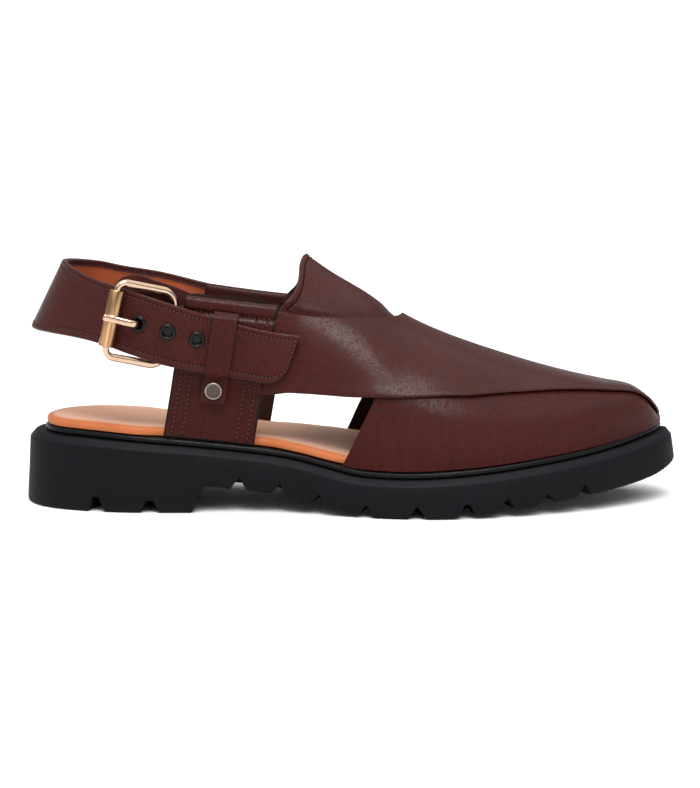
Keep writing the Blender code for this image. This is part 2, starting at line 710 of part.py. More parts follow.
def strap_rows():
    """Lower, middle and upper points of the heel strap's outer face, from the inner side round to its free end."""
    rows = []
    outer = HEEL_STRAP_THICKNESS
    for low, high in HEEL_STRAP_MEDIAL:
        rows.append([strap_side_point(MEDIAL, *point, outer) for point in (low, between(low, high, 0.5), high)])
    for low, high in HEEL_STRAP_BACK:
        size = (SOLE_LENGTH, BALL_WIDTH, INSTEP_HEIGHT)
        rows.append([Vector(a * b for a, b in zip(point, size)) for point in (low, between(low, high, 0.5), high)])
    for low, high in HEEL_STRAP_LATERAL:
        rows.append([strap_side_point(LATERAL, *point, outer) for point in (low, between(low, high, 0.5), high)])
    return rows


def strap_side_point(side, station, height, thickness):
    lift = curve_at(HEEL_STRAP_LIFT, station) * SIDE_STRAP_FOLD + thickness
    return side_point(side, station * SOLE_LENGTH, height * INSTEP_HEIGHT, lift)


STRAP_LINES = []


def strap_face(u, v):
    """Point of the heel strap's outer face, on the arc through its lower, middle and upper lines."""
    if not STRAP_LINES:
        STRAP_LINES.extend(zip(*[[tuple(point) for point in row] for row in strap_rows()]))
    low, middle, high = (Vector(along(line, u)) for line in STRAP_LINES)
    return low * (1 - v) * (1 - 2 * v) + middle * 4 * v * (1 - v) + high * v * (2 * v - 1)


def strap_normal(u, v):
    ahead = strap_face(min(u + STRAP_NUDGE, 1), v) - strap_face(max(u - STRAP_NUDGE, 0), v)
    return ahead.cross(strap_face(u, 1) - strap_face(u, 0)).normalized()


def strap_seat(x, height):
    """Point, outward normal and width's direction of the heel strap's outer face, at x and height, outer side."""
    best = None
    for i in range(STRAP_SEARCH // 2, STRAP_SEARCH + 1):
        u = i / STRAP_SEARCH
        low, high = strap_face(u, 0), strap_face(u, 1)
        v = min(max((height - low.z) / (high.z - low.z), 0), 1)
        point = strap_face(u, v)
        if best is None or abs(point.x - x) < abs(best[0].x - x):
            best = (point, strap_normal(u, v), (high - low).normalized())
    point, normal, width = best
    return point, normal if normal.y < 0 else -normal, width


def hole_place(ahead, height):
    """x and height of a point that lies some way ahead of the roller."""
    return ROLLER_MIDDLE[0] * SOLE_LENGTH + ahead, height * INSTEP_HEIGHT


def hole_seats():
    """Centre and normal of each strap hole on the outer face."""
    seats = []
    for i in range(HOLE_COUNT):
        x, height = hole_place(*FIRST_HOLE)
        run = i * HOLE_PITCH
        seats.append(strap_seat(x + run * math.cos(BUCKLE_SLOPE), height + run * math.sin(HOLE_SLOPE))[:2])
    return seats


def keeper_place(ahead, height):
    """x and height of a point that lies some way ahead of the last hole."""
    run = FIRST_HOLE[0] + (HOLE_COUNT - 1) * HOLE_PITCH * math.cos(BUCKLE_SLOPE)
    return hole_place(run + ahead, height)


def make_heel_strap():
    def inner(u, v):
        flip = 1 if strap_normal(0.5, 0.5).x < 0 else -1
        return strap_face(u, v) - strap_normal(u, v) * HEEL_STRAP_THICKNESS * flip

    strap = node("heel_strap", plate(STRAP_COLUMNS, STRAP_ROWS, inner, strap_face), "brown_leather")
    for i, (centre, normal) in enumerate(hole_seats()):
        cutter = pin(centre, normal, HOLE_DIAMETER / 2, STRAP_CUT_IN, STRAP_CUT_OUT)
        boolean(strap, helper(f"hole_cutter_{i + 1}", cutter), "DIFFERENCE")


def pin(centre, axis, radius, back, front):
    """A plain round pin that reaches back and front of its centre."""
    return turned(centre, axis, ((0.0, -back), (radius, -back), (radius, front), (0.0, front)))


def turned(centre, axis, profile, sides=ROUND_SIDES):
    """A round solid about an axis: profile rows are radius and distance along the axis; radius 0 closes an end."""
    bm = bmesh.new()
    turn = axis.to_track_quat("Z", "X").to_matrix()
    angles = [2 * math.pi * (i + 0.5) / sides for i in range(sides)]
    rings = []
    for radius, rise in profile:
        steps = angles if radius > 0 else angles[:1]
        ring = [Vector((radius * math.cos(a), radius * math.sin(a), rise)) for a in steps]
        rings.append([bm.verts.new(centre + turn @ point) for point in ring])
    if profile[0][0] > 0:
        rings.append(rings[0])
    for low, high in zip(rings, rings[1:]):
        for i in range(sides):
            j = (i + 1) % sides
            corners = [low[i % len(low)], low[j % len(low)], high[j % len(high)], high[i % len(high)]]
            bm.faces.new(list(dict.fromkeys(corners)))
    return bm


def make_eyelets():
    bore, barrel, flange = EYELET_BORE / 2, EYELET_BARREL / 2, EYELET_DIAMETER / 2
    front = SEAT_GAP
    back = -HEEL_STRAP_THICKNESS - SEAT_GAP
    thin = 0.6 * EYELET_FLANGE
    inner_flange = 0.92 * flange
    profile = (
        (bore, back - thin), (inner_flange, back - thin), (inner_flange, back), (barrel, back),
        (barrel, front), (flange, front), (0.9 * flange, front + EYELET_FLANGE),
        (1.12 * bore, front + EYELET_FLANGE), (bore, front + EYELET_FLANGE / 2),
    )
    for i, (centre, normal) in enumerate(hole_seats()):
        node(f"eyelet_{i + 1}", turned(centre, normal, profile), "black_metal")


def sweep(path, section_at, closed=False):
    """Rings of a section along a path; section_at gives the section's two half axes at a share of the path."""
    rings = []
    count = len(path)
    for i, point in enumerate(path):
        behind = path[i - 1] if closed or i > 0 else point
        ahead = path[(i + 1) % count] if closed or i < count - 1 else point
        run = (ahead - behind).normalized()
        wide, thick = section_at(i / (count - 1))
        side = wide.normalized()
        depth = run.cross(side).normalized()
        side = depth.cross(run).normalized()
        steps = [2 * math.pi * (k + 0.5) / RAIL_SIDES for k in range(RAIL_SIDES)]
        rings.append([point + side * wide.length * math.cos(a) + depth * thick * math.sin(a) for a in steps])
    return rings


def make_buckle(buckle):
    radius = RAIL_DIAMETER / 2
    middle = (buckle.roller + buckle.hinge) / 2
    half_length, half_height = (buckle.hinge - buckle.roller).length / 2, BUCKLE_HEIGHT / 2
    path = []
    for quarter, (a, b) in enumerate(((1, 1), (-1, 1), (-1, -1), (1, -1))):
        corner = ROLLER_CORNER if a < 0 else HINGE_CORNER
        centre = middle + buckle.across * a * (half_length - corner) + buckle.up * b * (half_height - corner)
        for k in range(CORNER_STEPS + 1):
            angle = math.pi / 2 * (quarter + k / CORNER_STEPS)
            path.append(centre + (buckle.across * math.cos(angle) + buckle.up * math.sin(angle)) * corner)
    bm = bmesh.new()
    rings = sweep(path, lambda share: (buckle.out * radius, radius), closed=True)
    rows = [[bm.verts.new(p) for p in ring] for ring in rings]
    for low, high in zip(rows, rows[1:] + rows[:1]):
        for i in range(RAIL_SIDES):
            j = (i + 1) % RAIL_SIDES
            bm.faces.new((low[i], low[j], high[j], high[i]))
    node("buckle_frame", bm, "gold")
    bore = radius + SEAT_GAP
    roller = sleeve(buckle.roller, buckle.up, ROLLER_DIAMETER / 2, ROLLER_LENGTH, bore, ROLLER_SIDES)
    node("buckle_roller", roller, "gold")
    make_prong(buckle)


# The prong's line, in steps of its own thickness. From the hinge bar: towards the tip. Round the first hole: off the
# strap's inner face (the last three: off its outer face) and towards the tip. Over the roller: towards the tip, down.
PRONG_FROM_BAR = (0.0, 3.0)
PRONG_UNDER_HOLE = ((-1.1, -1.6), (-0.2, -0.55))
PRONG_OVER_HOLE = ((0.8, 0.1), (1.9, 1.1))
PRONG_OVER_ROLLER = ((-2.2, 0.35), (0.0, 0.0), (2.4, 0.30))
# Its width and thickness beside the hole and at its tip, as shares of the full ones, and where along it they change.
PRONG_NECK = 0.86
PRONG_NECK_END = 0.62
PRONG_TIP = 0.70
PRONG_TIP_START = 0.99


def make_prong(buckle):
    """The prong, from its eye on the hinge bar, up through the first hole and onto the roller."""
    hole, normal = hole_seats()[0]
    bore = RAIL_DIAMETER / 2 + SEAT_GAP
    inward = HEEL_STRAP_THICKNESS + SEAT_GAP + EYELET_FLANGE
    to_tip = (buckle.roller - buckle.hinge).normalized()
    rise = PRONG_THICKNESS
    start = buckle.hinge + to_tip * (bore + LOOP_WALL / 2)
    end = buckle.roller + buckle.out * (ROLLER_DIAMETER / 2 + SEAT_GAP + PRONG_THICKNESS / 2)
    points = [start + to_tip * step * rise for step in PRONG_FROM_BAR]
    points += [hole + normal * (off * rise - inward) + to_tip * step * rise for off, step in PRONG_UNDER_HOLE]
    points.append(hole - normal * inward / 2 - to_tip * 0.20 * rise)
    points += [hole + normal * off * rise + to_tip * step * rise for off, step in PRONG_OVER_HOLE]
    points += [end + to_tip * step * rise - buckle.out * down * rise for step, down in PRONG_OVER_ROLLER]
    knots = [tuple(p) for p in points]
    path = [Vector(along(knots, i / PRONG_STEPS)) for i in range(PRONG_STEPS + 1)]

    def section(share):
        neck = PRONG_NECK if share < PRONG_NECK_END else 1.0
        tip = PRONG_TIP if share > PRONG_TIP_START else 1.0
        return buckle.up * PRONG_WIDTH * neck * tip / 2, PRONG_THICKNESS * tip / 2

    bm = bmesh.new()
    skin(bm, sweep(path, section))
    prong = node("buckle_prong", bm, "gold")
    eye = sleeve(buckle.hinge, buckle.up, bore + LOOP_WALL, PRONG_WIDTH + SEAT_GAP, bore)
    boolean(prong, helper("prong_eye", eye), "UNION")


def make_upper(buckle):
    pieces = [
        vamp_band("over_band", LATERAL, OVER_BAND_LIFT, OVER_BAND_LIFT + OVER_BAND, 0.0),
        tongue_plate(),
        side_strap("side_strap_lateral", LATERAL, 0.0),
        side_strap("side_strap_medial", MEDIAL, MEDIAL_SHIFT),
    ]
    bore = RAIL_DIAMETER / 2 + SEAT_GAP
    loop_length = (BUCKLE_HEIGHT - 2 * HINGE_CORNER - LOOP_SLOT) / 2 - SEAT_GAP
    for name, sign in (("loop_upper", 1), ("loop_lower", -1)):
        centre = buckle.hinge + buckle.up * sign * (LOOP_SLOT + loop_length) / 2
        pieces.append(helper(name, sleeve(centre, buckle.up, bore + LOOP_WALL, loop_length, bore)))
    upper = vamp_band("upper", MEDIAL, 0.0, UNDER_BAND, MEDIAL_SHIFT)
    upper.hide_render = False
    upper.display_type = "TEXTURED"
    for piece in pieces:
        boolean(upper, piece, "UNION")
    slot = pin(buckle.hinge, buckle.up, bore + LOOP_WALL + 3 * SEAT_GAP, LOOP_SLOT / 2, LOOP_SLOT / 2)
    boolean(upper, helper("prong_slot_cutter", slot), "DIFFERENCE")
    seat, normal = rivet_axis()
    hole = pin(seat, normal, RIVET_SHANK / 2 + SEAT_GAP, RIVET_CUT_IN, RIVET_CUT_OUT)
    boolean(upper, helper("rivet_hole_cutter", hole), "DIFFERENCE")


def rivet_axis():
    """Seat of the rivet on the keeper's outer face and its outward direction."""
    x, height = keeper_place(*RIVET_SEAT)
    lift = SIDE_STRAP_FOLD + SEAT_GAP + KEEPER_THICKNESS
    inner = side_point(LATERAL, x, height, 0.0)
    outer = side_point(LATERAL, x, height, lift)
    return outer, (outer - inner).normalized()


def make_keeper():
    """The keeper: tucked in over the heel strap, down over it, and riveted to the side strap below it."""
    low_lift = SIDE_STRAP_FOLD + SEAT_GAP
    high_lift = SIDE_STRAP_FOLD * KEEPER_RISE + HEEL_STRAP_THICKNESS + SEAT_GAP
    top, foot = keeper_place(*KEEPER_TOP), keeper_place(*KEEPER_FOOT)

    def face(extra):
        def at(u, v):
            x, height = between(top, foot, u)
            off = (v - 0.5) * KEEPER_WIDTH
            lift = low_lift + (high_lift - low_lift) * curve_at(KEEPER_RUN, u)
            return side_point(LATERAL, x + off, height - off * KEEPER_TILT, lift + extra)

        return at

    keeper = node("keeper", plate(KEEPER_ROWS, 2, face(0.0), face(KEEPER_THICKNESS)), "brown_leather")
    seat, normal = rivet_axis()
    hole = pin(seat, normal, RIVET_SHANK / 2 + SEAT_GAP, STRAP_CUT_OUT, STRAP_CUT_OUT)
    boolean(keeper, helper("keeper_hole_cutter", hole), "DIFFERENCE")


def make_rivet():
    seat, normal = rivet_axis()
    radius, shank = RIVET_DIAMETER / 2, RIVET_SHANK / 2
    back = -KEEPER_THICKNESS - SEAT_GAP - SIDE_STRAP_FOLD - SEAT_GAP
    profile = (
        (0.0, back - RIVET_HEAD / 2), (0.7 * radius, back - RIVET_HEAD / 2), (0.75 * radius, back), (shank, back),
        (shank, SEAT_GAP), (radius, SEAT_GAP), (radius, SEAT_GAP + 0.6 * RIVET_HEAD),
        (0.8 * radius, SEAT_GAP + RIVET_HEAD), (0.0, SEAT_GAP + RIVET_HEAD),
    )
    node("rivet", turned(seat, normal, profile, RIVET_SIDES), "dark_metal")


def main():
    for obj in list(bpy.data.objects):
        bpy.data.objects.remove(obj, do_unlink=True)
    make_outsole()
    make_midsole()
    make_insole()
    buckle = Buckle()
    make_upper(buckle)
    make_heel_strap()
    make_eyelets()
    make_buckle(buckle)
    make_keeper()
    make_rivet()


main()
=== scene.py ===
# %% [markdown]
# # A peshawari chappal in dark brown leather
# The shoe is a right one: two crossed bands and a tongue on a black lug sole, held at the heel by a buckled strap.
# The packed solids give its size. Every leather piece is built again here as a thin sheet that lies on one last, so
# that its edges are rounded, its stitches are real threads and its layers overlap as they do on the bench.

# %% Start from the packed solids
import math

import bpy
import numpy as np
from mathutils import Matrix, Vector


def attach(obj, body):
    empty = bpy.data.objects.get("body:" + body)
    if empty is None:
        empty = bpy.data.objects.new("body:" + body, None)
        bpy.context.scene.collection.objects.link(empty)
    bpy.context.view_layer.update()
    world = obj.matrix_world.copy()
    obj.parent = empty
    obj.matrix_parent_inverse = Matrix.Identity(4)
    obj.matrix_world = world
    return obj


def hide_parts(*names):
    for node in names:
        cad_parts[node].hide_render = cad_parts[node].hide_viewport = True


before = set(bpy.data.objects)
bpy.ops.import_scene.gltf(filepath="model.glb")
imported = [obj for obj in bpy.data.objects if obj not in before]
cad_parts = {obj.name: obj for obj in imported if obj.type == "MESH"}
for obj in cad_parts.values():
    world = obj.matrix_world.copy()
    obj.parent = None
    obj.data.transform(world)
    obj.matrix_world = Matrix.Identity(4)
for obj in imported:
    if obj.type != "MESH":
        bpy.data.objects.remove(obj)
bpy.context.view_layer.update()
MM = 0.001
print("solids:", ", ".join(sorted(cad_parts)))

# %% [markdown]
# ## The sizes that the pieces share
# A shoe is designed on its last, the form that stands for the foot. The sole's outline, the heights under it and the
# last's sections are tables of shares, so one length, one width and one height drive them all. A traced drawing could
# give the same lines, but it could not be resized. x runs from the back of the heel here, and each finished mesh is
# moved back to the middle of the heel's flat.

# %% Driving sizes, in metres
SOLE_LENGTH = 0.3020
BALL_WIDTH = 0.1025
HEEL_HEIGHT = 0.0333
INSTEP_HEIGHT = 0.1155
HEEL_REST = 0.0470
SEAT_GAP = 0.0003
MIDSOLE_THICKNESS = 0.0028
LAST_INSET = 0.0070
LATERAL, MEDIAL = -1, 1
print(f"sole {SOLE_LENGTH / MM:.0f} mm long and {BALL_WIDTH / MM:.1f} mm wide, heel {HEEL_HEIGHT / MM:.1f} mm high")

# %% The sole's outline and heights, and the last's sections
# Ground outline, from the heel along the outer side to the toe and back: shares of SOLE_LENGTH and BALL_WIDTH.
SOLE_OUTLINE = (
    (0.000, 0.000), (0.011, -0.137), (0.040, -0.244), (0.093, -0.322), (0.166, -0.366), (0.265, -0.371),
    (0.348, -0.366), (0.414, -0.390), (0.497, -0.468), (0.579, -0.517), (0.652, -0.522), (0.728, -0.483),
    (0.811, -0.405), (0.887, -0.293), (0.947, -0.166), (0.983, -0.059), (1.000, 0.059), (0.992, 0.137),
    (0.960, 0.224), (0.901, 0.322), (0.828, 0.405), (0.745, 0.463), (0.662, 0.478), (0.579, 0.444),
    (0.497, 0.371), (0.414, 0.312), (0.331, 0.307), (0.248, 0.337), (0.166, 0.351), (0.093, 0.317),
    (0.040, 0.244), (0.011, 0.137),
)
# Station, a share of SOLE_LENGTH; height, a share of HEEL_HEIGHT.
SOLE_TOP = (
    (0.000, 1.000), (0.066, 0.997), (0.212, 0.919), (0.351, 0.793), (0.407, 0.721), (0.454, 0.628),
    (0.517, 0.523), (0.570, 0.508), (0.672, 0.553), (0.808, 0.682), (0.907, 0.811), (1.000, 0.976),
)
SOLE_BOTTOM = (
    (0.000, 0.000), (0.2566, 0.000), (0.2765, 0.350), (0.315, 0.327), (0.377, 0.255), (0.434, 0.156),
    (0.467, 0.090), (0.508, 0.039), (0.536, 0.000), (0.609, 0.000), (0.659, 0.024), (0.712, 0.072),
    (0.775, 0.132), (0.836, 0.210), (0.877, 0.246), (0.957, 0.360), (1.000, 0.500),
)
# Station; ridge height, a share of INSTEP_HEIGHT; shoulder, drop, swell and its height, shares of the half section.
LAST_SECTIONS = (
    (0.199, 1.264, 0.80, 0.00, 1.10, 0.85), (0.331, 1.160, 0.80, 0.00, 1.10, 0.85),
    (0.397, 1.043, 0.62, 0.08, 1.15, 0.80), (0.425, 1.000, 0.55, 0.14, 1.15, 0.75),
    (0.465, 0.926, 0.52, 0.12, 1.13, 0.73), (0.521, 0.836, 0.48, 0.09, 1.10, 0.71),
    (0.576, 0.732, 0.46, 0.06, 1.08, 0.70), (0.636, 0.657, 0.46, 0.05, 1.07, 0.71),
    (0.735, 0.565, 0.50, 0.04, 1.05, 0.75), (0.828, 0.492, 0.55, 0.02, 1.05, 0.88),
    (0.894, 0.450, 0.60, 0.00, 1.05, 1.00), (0.927, 0.435, 0.60, 0.00, 1.05, 1.00),
    (0.950, 0.401, 0.60, 0.00, 1.05, 1.00), (0.9636, 0.359, 0.60, 0.00, 1.05, 1.00),
    (0.9735, 0.320, 0.60, 0.00, 1.05, 1.00),
)
# The ridge's sideways run: station, share of BALL_WIDTH.
RIDGE_LINE = ((0.000, 0.000), (0.596, 0.000), (0.828, 0.024), (0.927, 0.044), (0.9768, 0.0732))
print(len(SOLE_OUTLINE), "outline points,", len(LAST_SECTIONS), "sections of the last")

# %% [markdown]
# ## Smooth lines through few points
# Two kinds of curve do all the work. The first reads a table by station and never overshoots between its rows, which
# suits heights. The second runs smoothly through points in order, which suits outlines and the edges of a pattern
# piece. Both take whole arrays, so a mesh of ten thousand points is worked out in one go.

# %% Curves
def curve(rows, station, column=1):
    """A table's column at the stations, smooth and without overshoot."""
    x, y = (np.array([row[k] for row in rows], float) for k in (0, column))
    slope = np.diff(y) / np.diff(x)
    before, after = slope[:-1], slope[1:]
    total = np.where(before * after > 0, before + after, 1.0)
    bend = np.where(before * after > 0, 2 * before * after / total, 0.0)
    tangent = np.concatenate([slope[:1], bend, slope[-1:]])
    station = np.clip(station, x[0], x[-1])
    k = np.clip(np.searchsorted(x, station) - 1, 0, len(x) - 2)
    width = x[k + 1] - x[k]
    t = (station - x[k]) / width
    start = y[k] * (1 + 2 * t) * (1 - t) ** 2 + tangent[k] * width * t * (1 - t) ** 2
    return start + y[k + 1] * t * t * (3 - 2 * t) + tangent[k + 1] * width * t * t * (t - 1)


def along(points, share, closed=False):
    """Points at shares of the way along a smooth curve through the points."""
    points = np.asarray(points, float)
    count = len(points)
    spans = count if closed else count - 1
    place = np.clip(share, 0.0, 1.0) * spans
    k = np.minimum(np.asarray(place, int), spans - 1)
    t = (place - k)[..., None]

    def knot(i):
        return points[i % count] if closed else points[np.clip(i, 0, count - 1)]

    a, b, c, d = (knot(k + i) for i in (-1, 0, 1, 2))
    return 0.5 * (2 * b + (c - a) * t + (2 * a - 5 * b + 4 * c - d) * t * t + (3 * b - a - 3 * c + d) * t**3)


def smooth(low, high, value):
    """0 below low, 1 above high and an even turn between them."""
    t = np.clip((value - low) / (high - low), 0.0, 1.0)
    return t * t * (3 - 2 * t)


print("halfway up an even turn:", smooth(0.0, 1.0, 0.5))


# %% Directions and running lengths
def unit(vectors):
    return vectors / np.linalg.norm(vectors, axis=-1, keepdims=True)


def lengths(points, axis=0):
    """Running length along an axis of a line or a grid of points."""
    steps = np.linalg.norm(np.diff(points, axis=axis), axis=-1)
    zero = np.zeros_like(np.take(steps, [0], axis=axis))
    return np.concatenate([zero, np.cumsum(steps, axis=axis)], axis)


def read_at(place, run, values):
    """Rows of values at places along a running length, each column read on its own."""
    return np.stack([np.interp(place, run, column) for column in values.T], -1)


print("a 3-4-5 corner is", lengths(np.array([(0.0, 0.0), (3.0, 4.0)]))[-1], "long")

# %% Outline, ledge and underside of the sole
OUTLINE_POINTS = 1536
outline = along(SOLE_OUTLINE, np.arange(OUTLINE_POINTS) / OUTLINE_POINTS, closed=True)
outline = outline * (SOLE_LENGTH, BALL_WIDTH)
outline_run = unit(np.roll(outline, -1, 0) - np.roll(outline, 1, 0))
outline_inward = np.stack([-outline_run[:, 1], outline_run[:, 0]], -1)


def sole_top(x):
    return curve(SOLE_TOP, x / SOLE_LENGTH) * HEEL_HEIGHT


def sole_bottom(x):
    return curve(SOLE_BOTTOM, x / SOLE_LENGTH) * HEEL_HEIGHT


def upper_foot(x):
    """Height at which the upper stands on the midsole."""
    return sole_top(x) + MIDSOLE_THICKNESS + 3 * SEAT_GAP


def sides_of(points):
    """An outline's outer and inner side, each from heel to toe, for looking up y by x."""
    heel, toe = points[:, 0].argmin(), points[:, 0].argmax()
    turned = np.roll(points, -heel, 0)
    split = (toe - heel) % len(points)
    outer, inner = turned[: split + 1], np.concatenate([turned[split:], turned[:1]])[::-1]
    return {side: half[np.argsort(half[:, 0])] for side, half in ((LATERAL, outer), (MEDIAL, inner))}


last_outline = outline + outline_inward * LAST_INSET
LAST_SIDES = sides_of(last_outline)
LAST_END = last_outline[:, 0].max() - SEAT_GAP
print(f"sole {SOLE_LENGTH / MM:.0f} mm long, last ends {LAST_END / MM:.1f} mm from the heel")

# %% [markdown]
# ## The last
# A point of the last has a station along the foot and a girth: -1 at the outer sole line, 0 on the ridge and 1 at the
# inner sole line. Leather is then a height over that skin, its lift. With these three numbers a pattern piece can be
# drawn flat, as a maker cuts it, and still lies on the foot without a fitting step. A sculpted last would look as good,
# but then every sheet would have to be wrapped onto it.

# %% Points on and over the last
STATION_NUDGE = 0.0004
GIRTH_NUDGE = 0.006
RIDGE_SOFTNESS = 0.03
HALVINGS = 26


def last_point(x, girth):
    """Point on the last's skin: each half of a section is one arch from the ridge to the sole line."""
    x = np.minimum(x, LAST_END)
    station = x / SOLE_LENGTH
    ridge = curve(RIDGE_LINE, station) * BALL_WIDTH
    outer, inner = (np.interp(x, LAST_SIDES[side][:, 0], LAST_SIDES[side][:, 1]) for side in (LATERAL, MEDIAL))
    reach = np.where(girth < 0, outer, inner) - ridge
    foot = upper_foot(x)
    height = curve(LAST_SECTIONS, station) * INSTEP_HEIGHT - foot
    shoulder, drop, swell, swell_height = (curve(LAST_SECTIONS, station, k) for k in (2, 3, 4, 5))
    t = np.abs(girth)
    out = 3 * (1 - t) ** 2 * t * shoulder + 3 * (1 - t) * t * t * swell + t**3
    up = (1 - t) ** 3 + 3 * (1 - t) ** 2 * t * (1 - drop) + 3 * (1 - t) * t * t * swell_height
    up = up - 3 * drop * (1 - t) ** 2 * (np.sqrt(t * t + RIDGE_SOFTNESS**2) - t)
    return np.stack([x, ridge + reach * out, foot + height * up], -1)


def leather_point(x, girth, lift):
    """Point at a height over the last's skin, square to it."""
    x, girth, lift = np.broadcast_arrays(x, girth, lift)
    x = np.minimum(x, LAST_END - STATION_NUDGE)
    ahead = last_point(x + STATION_NUDGE, girth) - last_point(x - STATION_NUDGE, girth)
    across = last_point(x, girth + GIRTH_NUDGE) - last_point(x, girth - GIRTH_NUDGE)
    return last_point(x, girth) + unit(np.cross(ahead, across)) * lift[..., None]


def side_point(side, x, height, lift):
    """Point over the last on one side, at a given height above the floor."""
    x, height, lift = np.broadcast_arrays(x, height, lift)
    low, high = np.zeros(x.shape), np.ones(x.shape)
    for _ in range(HALVINGS):
        middle = (low + high) / 2
        above = last_point(x, side * middle)[..., 2] > height
        low, high = np.where(above, middle, low), np.where(above, high, middle)
    return leather_point(x, side * low, lift)


COLLAR_STATION = 0.4215
print("ridge at the collar:", np.round(last_point(COLLAR_STATION * SOLE_LENGTH, 0.0) / MM, 1), "mm")

# %% [markdown]
# ## Meshes from arrays
# Every piece ends as one closed mesh. A grid of points becomes faces by index, and the sign of the enclosed volume
# says whether they face out. Each point also carries what the finishes read: its distances to the nearest cut edge and
# to the nearest seam, and a flat map in metres that says which way the grain runs. Modifiers could thicken and round a
# sheet as well, but then no point would know how far it is from its edge or its seam.

# %% One closed mesh
FAR_AWAY = 1.0


def enclosed(points, triangles):
    """Six times the volume inside the triangles, negative where they face inwards."""
    a, b, c = (points[[t[i] for t in triangles]] for i in range(3))
    return np.einsum("ij,ij->i", a, np.cross(b, c)).sum()


def solid(name, points, faces, finishes, slot, replaces=(), finish_of=None, maps=None, edge=None, seam=None,
          smooth_angle=40):
    """A closed mesh that rides on the shoe, with its finishes, its flat map and its distances to edge and seam."""
    points = np.asarray(points, float).reshape(-1, 3) - (HEEL_REST, 0.0, 0.0)
    second_halves = [(f[0], f[2], f[3]) for f in faces if len(f) == 4]
    if enclosed(points, faces) + (enclosed(points, second_halves) if second_halves else 0.0) < 0:
        faces = [tuple(f)[::-1] for f in faces]
    mesh = bpy.data.meshes.new(name)
    mesh.from_pydata(points, [], faces)
    for finish in finishes:
        mesh.materials.append(finish)
    if finish_of is not None:
        mesh.polygons.foreach_set("material_index", np.asarray(finish_of, np.int32))
    loops = np.zeros(len(mesh.loops), np.int32)
    mesh.loops.foreach_get("vertex_index", loops)
    flat = np.asarray(maps if maps is not None else points[:, :2], np.float32).reshape(-1, 2)
    mesh.uv_layers.new(name="grain").data.foreach_set("uv", flat[loops].ravel())
    for label, values in (("edge", edge), ("seam", seam)):
        distance = np.full(len(points), FAR_AWAY) if values is None else np.asarray(values, float).ravel()
        mesh.attributes.new(label, "FLOAT", "POINT").data.foreach_set("value", distance.astype(np.float32))
    mesh.shade_smooth()
    mesh.set_sharp_from_angle(angle=math.radians(smooth_angle))
    mesh.validate()
    piece = bpy.data.objects.new(name, mesh)
    bpy.context.scene.collection.objects.link(piece)
    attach(piece, "root")
    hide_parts(*replaces)
    print(f"{name}: {len(mesh.polygons)} faces")
    return piece


corner = np.array([(0, 0, 0), (1, 0, 0), (0, 1, 0), (0, 0, 1)], float)
corner_sides = [(0, 2, 1), (0, 1, 3), (0, 3, 2), (1, 2, 3)]
print("a cube's corner, cut off slantwise, holds", round(enclosed(corner, corner_sides) / 6, 3), "of it")


# %% Faces of a grid, spacing and rounding
def grid_faces(rows, columns, start=0, closed=False):
    """Faces of a grid of points; closed joins its last column to its first."""
    index = np.arange(rows * columns).reshape(rows, columns) + start
    if closed:
        index = np.concatenate([index, index[:, :1]], 1)
    corners = (index[:-1, :-1], index[:-1, 1:], index[1:, 1:], index[1:, :-1])
    return [tuple(f) for f in np.stack(corners, -1).reshape(-1, 4).tolist()]


def spaced(length, marks, count):
    """Shares along a length: at the marks from both ends, and even steps between them."""
    near = np.minimum(np.asarray(marks) / length, np.linspace(0, 0.42, len(marks)))
    return np.concatenate([near[:-1], np.linspace(near[-1], 1 - near[-1], count + 1), 1 - near[-2::-1]])


def rounding(edge, radius):
    """How far a face falls away towards a rounded edge."""
    share = np.clip(1 - edge / radius, 0.0, 1.0)
    return radius * (1 - np.sqrt(1 - share**2))


print("a grid of 3 by 4 points has", len(grid_faces(3, 4)), "faces")

# %% [markdown]
# ## Shader maths as plain expressions
# A wrapped socket takes part in ordinary arithmetic, and each sign adds the Math node that does it. So a mask can be
# written as `1 - ring * worn`, and the node tree follows. Every other node comes from one method that takes its type,
# its settings and what its sockets get. The same trees could be drawn by hand in the shader editor, but an expression
# stays readable beside the numbers that it uses.

